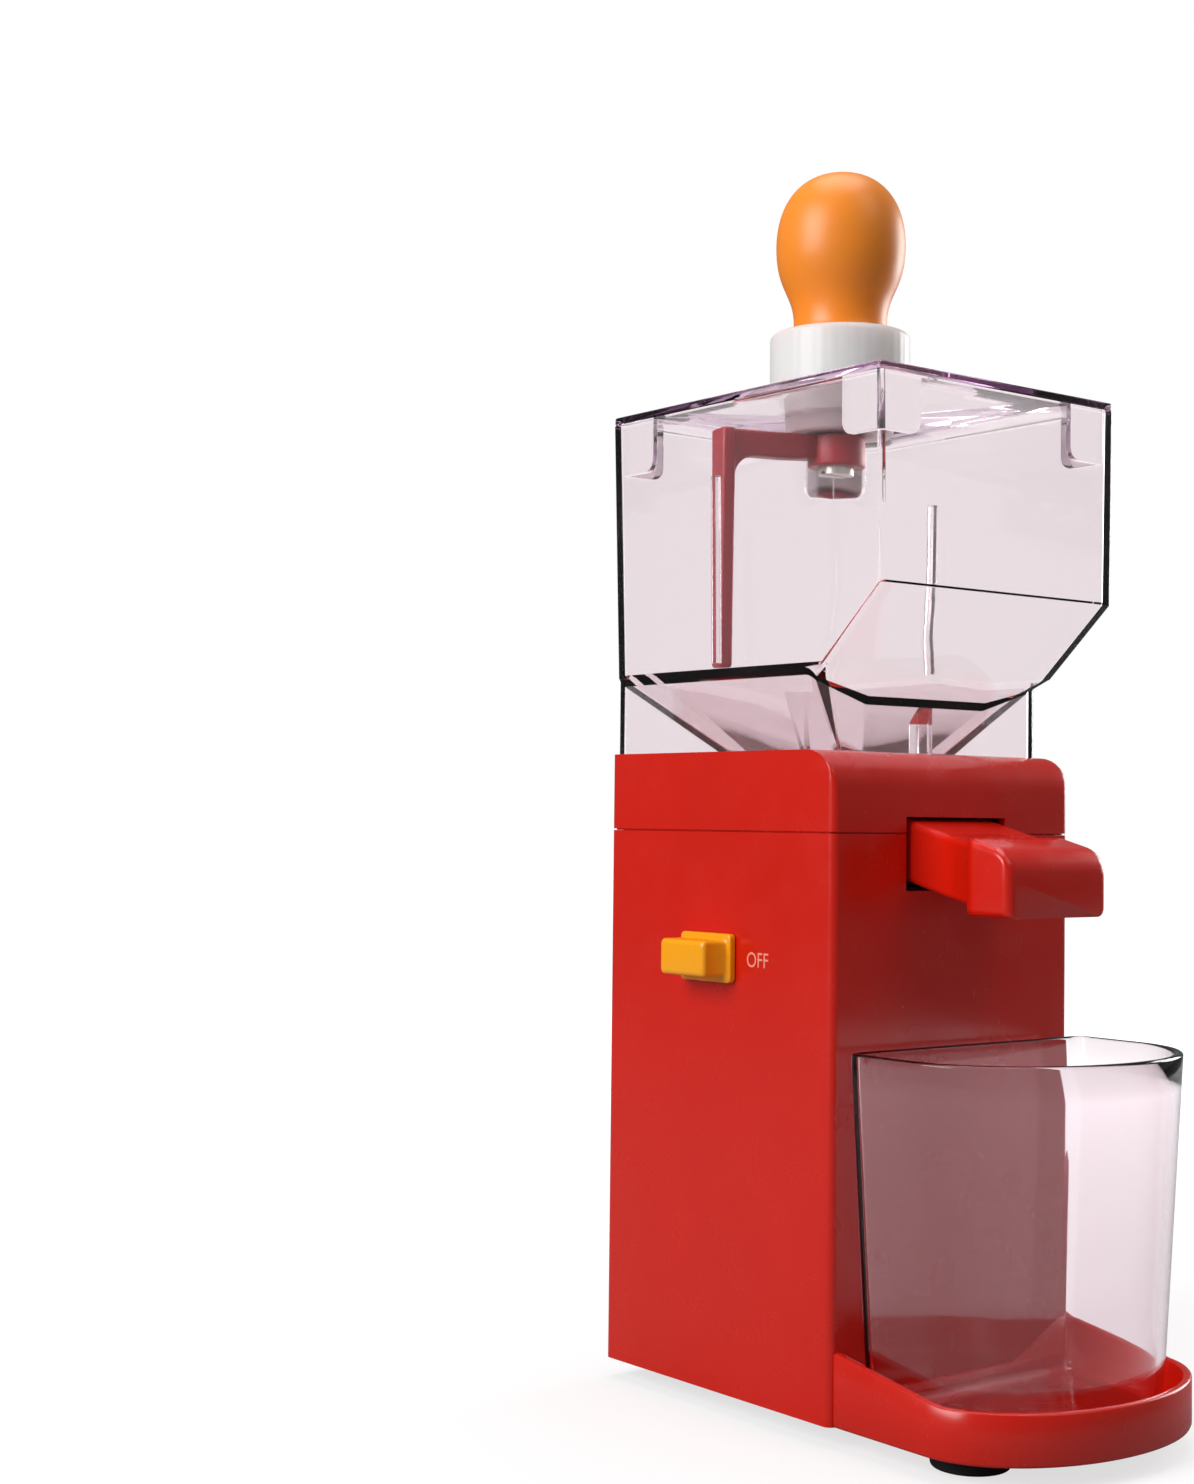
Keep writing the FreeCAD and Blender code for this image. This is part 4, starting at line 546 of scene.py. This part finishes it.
def tray_ring(inset, rise, lift):
    """The tray's outline at a share of its rim's height, which is low at the back, at the case."""
    ring = d_shape(tray_half - inset, case_front - inset, tray_turn, tray_front + inset, 0.6)
    back = (ring[:, 1] > case_front - 0.05 - inset) & (abs(ring[:, 0]) < 47)
    rim = np.where(back, tray_back_height, tray_rim(ring[:, 1]))
    base = case_foot + lift
    return lifted(ring, base + rise * (rim - base))


tray_steps = (
    (1.0, 0, 0), (0.3, 0, 0.3), (0, 0, 1.0), (0, 0.5, 0), (0, 0.96, 0), (0.35, 0.99, 0),
    (tray_wall / 2, 1.0, 0), (tray_wall - 0.35, 0.99, 0), (tray_wall, 0.96, 0),
    (tray_wall, 0, 5.0), (3.1, 0, 3.2), (5.0, 0, tray_floor),
)
tray = skin("drip_dish", [tray_ring(*step) for step in tray_steps], caps=(True, True))
fitted(tray, "casing", red_abs, ["drip_tray"])


# Butter cup. Clear styrene acrylonitrile, injection moulded with a draft: a D shaped beaker whose
# flat back faces the case. It stands in the tray by its own weight.
def clear(name, tint, depth_tint, density, rough, grain, ior):
    """A clear moulded plastic: light passes and bends, the melt's flow lines ripple it slightly,
    and the tint deepens with the way through the wall, so edges look darker than walls. Lamplight
    falls straight through onto what stands behind."""
    material, tree = new_material(name)
    place = add(tree, "ShaderNodeTexCoord").outputs["Object"]
    ripple = add(tree, "ShaderNodeTexNoise", {
        "Vector": place, "Scale": 1000 / grain, "Detail": 1.5,
    })
    bump = add(tree, "ShaderNodeBump", {
        "Height": ripple.outputs[0], "Distance": 0.04 / 1000, "Strength": 0.35,
    })
    film = add(tree, "ShaderNodeMapRange", {
        0: ripple.outputs[0], 1: 0.35, 2: 0.75, 3: rough, 4: rough + 0.05,
    })
    shader = add(tree, "ShaderNodeBsdfPrincipled", {
        "Base Color": srgb(tint), "Roughness": film.outputs[0], "Normal": bump.outputs[0],
        "IOR": ior, "Transmission Weight": 1.0,
    })
    path = add(tree, "ShaderNodeLightPath")
    lit = add(tree, "ShaderNodeMath", {
        0: path.outputs["Is Shadow Ray"], 1: path.outputs["Is Diffuse Ray"],
    }, operation="MAXIMUM")
    straight = add(tree, "ShaderNodeBsdfTransparent", {"Color": srgb(tint)})
    wall = add(tree, "ShaderNodeMixShader", {
        0: lit.outputs[0], 1: shader.outputs[0], 2: straight.outputs[0],
    })
    inside = add(tree, "ShaderNodeVolumeAbsorption", {
        "Color": srgb(depth_tint), "Density": density,
    })
    add(tree, "ShaderNodeOutputMaterial", {"Surface": wall.outputs[0], "Volume": inside.outputs[0]})
    return material


clear_cup = clear("clear styrene of the cup", "#FAF4F6", "#B86CA8", 18.0, 0.015, 14.0, 1.42)
cup_half, cup_back, cup_front, cup_turn, cup_corner = 43.5, -56.5, -111.5, -80, 5.0
cup_base, cup_height, cup_wall = 8.5, 102.5, 2.6
heel_outside, heel_inside = 5, 3


def cup_ring(rise, inset, lift=0.0):
    """The cup's outline at a share of its height: every size grows evenly from foot to rim."""
    half = cup_half + 6.5 * rise - inset
    back = cup_back + 1.0 * rise - inset
    front = cup_front - 5.0 * rise + inset
    plan = d_shape(half, back, cup_turn, front, max(cup_corner - inset, 2.4))
    return lifted(plan, cup_base + cup_height * rise + lift)


def heel_ring(rise, inset, r, a):
    """One section of the heel's round: inset r (1 - cos a), height r (1 - sin a)."""
    return cup_ring(rise, inset + r * (1 - math.cos(a)), r * (1 - math.sin(a)))


heel_turns = np.radians(np.linspace(90, 0, 7))
rim_turns = np.radians(np.linspace(0, 180, 7))
cup_rows = [heel_ring(0, 0, heel_outside, a) for a in heel_turns]
cup_rows += [cup_ring(rise, 0) for rise in (0.1, 0.3, 0.6, 0.9)]
cup_rows += [cup_ring(0.99, cup_wall / 2 * (1 - math.cos(a)), 0.9 * math.sin(a)) for a in rim_turns]
cup_rows += [cup_ring(rise, cup_wall) for rise in (0.9, 0.6, 0.3, 0.1)]
cup_rows += [heel_ring(0.031, cup_wall, heel_inside, a) for a in heel_turns[::-1]]
cup = skin("butter_beaker", cup_rows, caps=(True, True))
fitted(cup, "cup", clear_cup, ["butter_cup"])

# Hopper. Clear styrene acrylonitrile in one moulding: a tall box, a funnel that narrows to a square
# throat and a round neck, and a skirt that carries it on the case. It lifts off for cleaning.
# Thick clear walls: nearly colourless face on, mauve along their edges
clear_hopper = clear("clear styrene of the hopper", "#F8F3F4", "#B86CB0", 16.0, 0.015, 18.0, 1.42)
rim_level, rim_half, rim_front, rim_back = 301.6, 49.8, -68.2, 52.3
bend_level, slope_outside, slope_inside, slope_front = 242, 220.4, 220.2, -45.2
taper_height, hopper_wall, hopper_corner = 81.4, 2.2, 0.8
skirt_half, skirt_front, skirt_back, skirt_foot, skirt_wall = 48.5, -39.2, 50.4, 196, 2
ramp_start, ramp_low, ramp_rise = 25.6, 195.6, 24.2
ramp_side, ramp_back, ramp_front = 22.9, 24.8, 19.6
neck_outside, neck_inside, neck_foot = 23.8, 21.5, 192.5


def square_ring(half, front, back, r, z, step=25):
    """A rounded rectangle at a height, with three points along each side, a step apart."""
    along, against = (-step, 0, step), (step, 0, -step)
    return lifted(outline(
        -half, half, front, back, r, front=along, right=along, back=against, left=against,
    ), z)


def throat_ring(half, z):
    """The square section between the funnel and the neck."""
    return square_ring(half, -half, half, 1.0, z, step=12)


def round_ring(radius, z, like):
    """A circle at a height, with its points in the directions of another ring's."""
    t = np.arctan2(like[:, 1], like[:, 0])
    return lifted(radius * np.column_stack([np.cos(t), np.sin(t)]), z)


def box_ring(z, front, inset=0.0, lift=0.0, r=1.2):
    """The box's outline at a height: its sides and back lean out by 1.3 and 1.9 mm to the rim."""
    drop = (rim_level - z) / taper_height
    back = rim_back - 1.9 * drop - inset
    return square_ring(rim_half - 1.3 * drop - inset, front + inset, back, r, z + lift)


def funnel_underside(x, y):
    """The underside's height: the highest of four even ramps that rise from the throat outwards."""
    to_side, to_back = (abs(x) - ramp_start) / ramp_side, (y - ramp_start) / ramp_back
    to_front = (-y - ramp_start) / ramp_front
    return ramp_low + ramp_rise * np.max([to_side, to_back, to_front], axis=0)


def skirt_ring(inset, z=None):
    """The skirt's outline at a level, or where it meets the funnel's sloping underside."""
    half, front, back = skirt_half - inset, skirt_front + inset, skirt_back - inset
    ring = square_ring(half, front, back, 2.5 - inset / 2, 0)
    ring[:, 2] = funnel_underside(ring[:, 0], ring[:, 1]) if z is None else z
    return ring


# The sections run up the outside, over the rim and down the inside
throat = throat_ring(22.56, 198)
hopper_rows = [
    round_ring(neck_outside, neck_foot, throat),
    round_ring(neck_outside, 195.4, throat),
    throat_ring(25.4, 196.3),
    skirt_ring(skirt_wall),
    skirt_ring(skirt_wall, skirt_foot),
    skirt_ring(0, skirt_foot),
    skirt_ring(0),
    box_ring(slope_outside, slope_front),
    box_ring(bend_level, rim_front),
    box_ring(rim_level - 0.4, rim_front),
    box_ring(rim_level, rim_front, 0.3, r=1.0),
    box_ring(rim_level, rim_front, hopper_wall - 0.3, r=hopper_corner),
    box_ring(rim_level - 0.4, rim_front, hopper_wall, r=hopper_corner),
    box_ring(bend_level, rim_front, hopper_wall, 0.9, hopper_corner),
    box_ring(slope_inside, slope_front, hopper_wall, 1.1, hopper_corner),
    throat,
    round_ring(neck_inside, 197.5, throat),
    round_ring(neck_inside, neck_foot, throat),
]
hopper = skin("hopper_box_and_funnel", hopper_rows, loop=True)
fitted(hopper, "hopper_part", clear_hopper, ["hopper"], edge=0.25, crease=30)

# Hopper ribs. A broad web stiffens the skirt in front, and a narrow rib runs up each side wall
# inside, to keep the nuts from turning with the stirrer. All are moulded with the hopper.
web = outline(-3.2, 3.2, -37.3, -33.2, 0.6, steps=4)
web_rows = [lifted(web, skirt_foot), lifted(web, funnel_underside(web[:, 0], web[:, 1]))]
skirt_web = skin("skirt_web", web_rows, caps=(True, True))
fitted(skirt_web, "hopper_part", clear_hopper, ["hopper"], edge=0.2)
rib = outline(44.35, 46.5, 3, 6, 0.6, steps=4)
for side, name in ((-1, "wall_rib_left"), (1, "wall_rib_right")):
    rib_rows = [lifted((rib + [lean, 0]) * [side, 1], z) for lean, z in ((0, 223), (0.95, 280))]
    wall_rib = skin(name, [row[::side] for row in rib_rows], caps=(True, True))
    fitted(wall_rib, "hopper_part", clear_hopper, ["hopper"], edge=0.2)

# Lid. A clear plate with four corner tabs that drop inside the hopper's walls and keep it square.
clear_lid = clear("clear styrene of the lid", "#FAF5F6", "#B468B0", 22.0, 0.02, 18.0, 1.42)
lid_low, lid_top, lid_hole = 301.62, 304, 16.4


def lid_ring(inset, z):
    """The lid's outline at a height; it is as wide as the hopper's rim."""
    return square_ring(rim_half - inset, rim_front + inset, rim_back - inset, 1.5, z)


lid_widest = lid_ring(0, 302.1)
lid_levels = ((0.5, lid_low), (0.1, 301.75), (0, 302.1), (0, 303.5), (0.15, 303.85), (0.5, lid_top))
lid_rows = [round_ring(lid_hole, lid_low, lid_widest)]
lid_rows += [lid_ring(inset, z) for inset, z in lid_levels]
lid_rows += [round_ring(lid_hole, lid_top, lid_widest)]
lid = skin("lid_plate", lid_rows, loop=True)
fitted(lid, "lid_part", clear_lid, ["lid"])
tab_leg, tab_wall, tab_round, tab_low = 15, 1.6, 4, 285.1
tab_side, tab_rear, tab_front = 46.8, 49.2, 65.5


def corner_tab(name, sx, sy):
    """An angle of two legs below one corner of the lid; the lower edge rises by a quarter circle at
    both ends: low + r - sqrt(r^2 - d^2)."""
    x, y = tab_side, tab_rear if sy > 0 else tab_front
    ends = np.linspace(0, tab_round, 6), np.linspace(2 * tab_leg - tab_round, 2 * tab_leg, 6)
    run = np.concatenate([ends[0], [11, 14.2, 15, 15.8, 19], ends[1]])
    near = np.clip(tab_leg - run, 0, tab_leg)
    far = np.clip(run - tab_leg, 0, tab_leg)
    plan = np.column_stack([x - near, y - far])
    inner = np.column_stack([
        x - tab_wall - near * (tab_leg - tab_wall) / tab_leg,
        y - tab_wall - far * (tab_leg - tab_wall) / tab_leg,
    ])
    reach = np.clip(tab_round - np.minimum(run, 2 * tab_leg - run), 0, tab_round)
    low = tab_low + tab_round - np.sqrt(tab_round ** 2 - reach ** 2)
    outer_side = [lifted(plan, low), lifted(plan, rim_level)]
    inner_side = [lifted(inner, rim_level), lifted(inner, low)]
    rows = np.stack(outer_side + inner_side, axis=1) * np.array([sx, sy, 1])
    if sx * sy > 0:
        rows = rows[:, ::-1]
    return skin(name, rows, caps=(True, True))


for number, (sx, sy) in enumerate([(-1, -1), (1, -1), (1, 1), (-1, 1)]):
    tab = corner_tab("lid_tab_%d" % number, sx, sy)
    fitted(tab, "lid_part", clear_lid, ["lid"], edge=0.2, crease=50)

# Lid collar. A white polypropylene bearing for the knob's shaft, pressed into the lid's hole. Fine
# flutes run down its wall, and the knob's foot turns in a shallow seat in its top. The plastic is
# slightly waxy, because light scatters in it.
white_pp = moulded(
    "white polypropylene", "#FBF8F5", "#F8F4F0", 0.36, 1.5, 0.01, ior=1.49, scatter=0.8,
)
seat_profile = np.concatenate([
    [[7.5, 296.8], [15.8, 296.8], [16.3, 297.3], [16.3, 304], [21.8, 304.05]],
    arc(21.7, 304.45, 0.4, -60, 0, 4), [[22.1, 311], [22.1, 319]], arc(20.1, 327, 2.0, 0, 90),
    arc(17.6, 328.6, 0.4, 90, 180, 4), [[17.2, 327.5], [16.9, 327.2], [7.5, 327.2]],
])
# 40 flutes narrow the wall by up to 0.4 percent of its radius: 1 - 0.004 (0.5 + 0.5 cos 40 t)^2
seat_turn = np.linspace(0, 2 * math.pi, 240, endpoint=False)
flute = 1 - 0.004 * (0.5 + 0.5 * np.cos(40 * seat_turn)) ** 2
fluted = ((seat_profile[:, 0] > 21.9) & (seat_profile[:, 1] < 328))[:, None]
seat_radius = seat_profile[:, :1] * np.where(fluted, flute[None, :], 1.0)
seat_rows = np.stack([
    seat_radius * np.cos(seat_turn), seat_radius * np.sin(seat_turn),
    np.broadcast_to(seat_profile[:, 1:], seat_radius.shape),
], axis=-1)
seat = skin("knob_seat", seat_rows, loop=True)
fitted(seat, "lid_part", white_pp, ["lid_collar"])


# Stirring knob. Orange ABS from a satin mould, two halves welded on the shaft: a flared foot, a
# narrow neck and a round belly that fills the palm. Its highlights are broad and soft.
def bezier(*poles, steps=14):
    """A Bezier curve: the poles weighted by the Bernstein polynomials of t from 0 to 1."""
    poles = np.asarray(poles, float)
    degree = len(poles) - 1
    t = np.linspace(0, 1, steps)[:, None]
    k = np.arange(degree + 1)
    weight = np.array([math.comb(degree, i) for i in k]) * t ** k * (1 - t) ** (degree - k)
    return weight @ poles


orange_abs = moulded("orange ABS", "#FF9628", "#FD8A20", 0.36, 2.5, 0.004)
knob_profile = np.concatenate([
    [[12.0, 327.5], [16.2, 327.5], [16.6, 327.8]],
    bezier((16.6, 327.8), (14.7, 329.6), (14.7, 332.6), steps=8)[1:],
    bezier((14.7, 332.6), (14.7, 342.7), (20.4, 343.7), (20.4, 357.3), steps=22)[1:],
    bezier((20.4, 357.3), (20.4, 370.8), (13.5, 380.5), (0.6, 380.5), steps=28)[1:],
])
knob = turned("palm_knob", knob_profile, count=96)
fitted(knob, "stirrer", orange_abs, ["stirring_knob"])

# Stirrer. Dark red nylon, moulded in one piece: a hub on the shaft, a flat arm with a curved
# gusset and a tapered bar that sweeps the hopper's walls. A screw in the shaft's end holds it.
# Nylon takes less polish than ABS, so the red stays dull
red_nylon = moulded("dark red nylon", "#B02A32", "#A6232C", 0.4, 1.0, 0.012)
bar_radius, bar_thick, bar_corner, arm_top = 39.8, 4.5, 1.1, 296.3
heading = math.radians(165.5)
turn = np.array([
    [math.cos(heading), math.sin(heading), 0],
    [-math.sin(heading), math.cos(heading), 0],
    [0, 0, 1],
])


def bar_ring(z, width, thick=bar_thick, r=bar_corner):
    """The bar's section at a height: a rounded rectangle, turned to the bar's heading."""
    near, far = bar_radius - thick / 2, bar_radius + thick / 2
    return lifted(outline(near, far, -width / 2, width / 2, r, steps=5), z) @ turn


bar_steps = (
    (222.3, 5.3, 3.3, 0.8), (222.6, 6.1, 4.1, 1.0), (223.3, 6.5), (240, 7.1), (265, 7.95),
    (288, 8.7), (295.3, 8.97), (296, 8.6, 4.1, 1.0), (arm_top, 7.8, 3.3, 0.8),
)
bar = skin("stirring_bar", [bar_ring(*step) for step in bar_steps], caps=(True, True))
fitted(bar, "stirrer", red_nylon, ["stirrer_arm"])


def arm_ring(radius):
    """The arm's section across its length, 6 mm wide; its depth of 8 mm grows by a quarter circle
    of 8 mm radius into the bar: 8 - sqrt(64 - d^2)."""
    into = min(max(radius - 29.55, 0), 7.9)
    low = 288.3 - (8 - math.sqrt(64 - into ** 2))
    ring = outline(-3, 3, low, arm_top, 0.9, steps=4)
    return np.column_stack([np.full(len(ring), radius), ring[:, 0], ring[:, 1]]) @ turn


arm_steps = (4.5, 15, 29.5, 31, 32.5, 34, 35, 36, 36.8, 37.4, 39)
arm = skin("stirring_arm", [arm_ring(r) for r in arm_steps], caps=(True, True))
fitted(arm, "stirrer", red_nylon, ["stirrer_arm"])
hub_profile = np.concatenate([
    [[4.05, 286.3]], arc(8.2, 287.1, 0.8, -90, 0, 5),
    arc(8.2, 295.5, 0.8, 0, 90, 5), [[4.05, arm_top]],
])
hub = turned("stirring_hub", hub_profile, caps=(False, False), loop=True)
fitted(hub, "stirrer", red_nylon, ["stirrer_arm"])

# Floor. A plain white sweep: grey paper that keeps the machine's soft shadow, under a painted glow
# seen by the eye and through glass, which is weaker near the machine and grows further off until it
# is as white as the wall behind.
sweep_half = 9000
floor = skin("floor", [
    [(-sweep_half, y, 0), (sweep_half, y, 0)] for y in (-sweep_half, sweep_half)
], wrap=False)
paper, tree = new_material("white paper sweep")
place = add(tree, "ShaderNodeTexCoord").outputs["Object"]
far = add(tree, "ShaderNodeVectorMath", {0: place}, operation="LENGTH")
# painted light: the floor's glow is 0.7 near the machine and rises to 1.0 a metre away
painted_glow_by_distance = add(tree, "ShaderNodeMapRange", {
    0: far.outputs["Value"], 1: 0.2, 2: 1.0, 3: 0.7, 4: 1.0,
}, interpolation_type="SMOOTHSTEP")
path = add(tree, "ShaderNodeLightPath")
seen = add(tree, "ShaderNodeMath", {
    0: path.outputs["Is Camera Ray"], 1: path.outputs["Is Transmission Ray"],
}, operation="MAXIMUM")
lift = add(tree, "ShaderNodeMath", {0: seen.outputs[0], 1: painted_glow_by_distance.outputs[0]}, operation="MULTIPLY")
matte = add(tree, "ShaderNodeBsdfDiffuse", {"Color": srgb("#989898")})
# painted light: the floor glows though it is no lamp, only for the eye and through glass
painted_glow = add(tree, "ShaderNodeEmission", {"Color": srgb("#FFFFFF"), "Strength": lift.outputs[0]})
both = add(tree, "ShaderNodeAddShader", {0: matte.outputs[0], 1: painted_glow.outputs[0]})
add(tree, "ShaderNodeOutputMaterial", {"Surface": both.outputs[0]})
floor.data.materials.append(paper)

# Light. The room is white to the eye and through glass, and dim to the gloss, so that the soft
# boxes make the highlights.
world = bpy.data.worlds.new("white room")
bpy.context.scene.world = world
world.use_nodes = True
tree = world.node_tree
tree.nodes.clear()
path = add(tree, "ShaderNodeLightPath")
seen = add(tree, "ShaderNodeMath", {
    0: path.outputs["Is Camera Ray"], 1: path.outputs["Is Transmission Ray"],
}, operation="MAXIMUM")
level = add(tree, "ShaderNodeMapRange", {0: seen.outputs[0], 1: 0.0, 2: 1.0, 3: 0.17, 4: 1.0})
sky = add(tree, "ShaderNodeBackground", {"Color": srgb("#FFFFFF"), "Strength": level.outputs[0]})
add(tree, "ShaderNodeOutputWorld", {"Surface": sky.outputs[0]})


def soft_box(name, place, target, size, power):
    """A square lamp that faces its target: its -Z axis is the direction between them."""
    lamp = bpy.data.lights.new(name, "AREA")
    lamp.size = size
    lamp.energy = power
    holder = bpy.data.objects.new(name, lamp)
    bpy.context.scene.collection.objects.link(holder)
    back = np.asarray(place, float) - np.asarray(target, float)
    back /= np.linalg.norm(back)
    side = np.cross([0, 0, 1], back)
    side /= np.linalg.norm(side)
    matrix = np.eye(4)
    matrix[:3, :3] = np.column_stack([side, np.cross(back, side), back])
    matrix[:3, 3] = place
    holder.matrix_world = Matrix(matrix.tolist())


middle = (0, 0, 0.18)
soft_box("left box", (-1.5, 0.1, 0.9), middle, 1.0, 24.0)
soft_box("front box", (0.4, -1.15, 1.5), middle, 0.8, 2.8)
soft_box("top box", (0.1, 0.1, 1.7), middle, 1.1, 12.0)
soft_box("right box", (1.6, 0.0, 0.6), middle, 0.8, 14.0)

# Camera. Level with the collar, from the front left corner, as the photograph shows the machine.
# The focal length is in picture heights, and the place in metres.
yaw, pitch, tilt = 0.656647, 0.036086, 0.011576
focal_length, place_of_eye = 2194.83 / 1484, (-0.48094, -0.50031, 0.17469)
ahead = np.array([
    math.sin(yaw) * math.cos(pitch), math.cos(yaw) * math.cos(pitch), math.sin(pitch),
])
across = np.array([math.cos(yaw), -math.sin(yaw), 0.0])
upward = np.cross(across, ahead)
right_hand = math.cos(tilt) * across + math.sin(tilt) * upward
overhead = math.cos(tilt) * upward - math.sin(tilt) * across
eye = bpy.data.cameras.new("eye")
eye.lens = eye.sensor_width * focal_length
eye.clip_end = 50
camera = bpy.data.objects.new("eye", eye)
bpy.context.scene.collection.objects.link(camera)
stance = np.eye(4)
stance[:3, :3] = np.column_stack([right_hand, overhead, -ahead])
stance[:3, 3] = place_of_eye
camera.matrix_world = Matrix(stance.tolist())
bpy.context.scene.camera = camera
bpy.context.scene.view_settings.view_transform = "Standard"
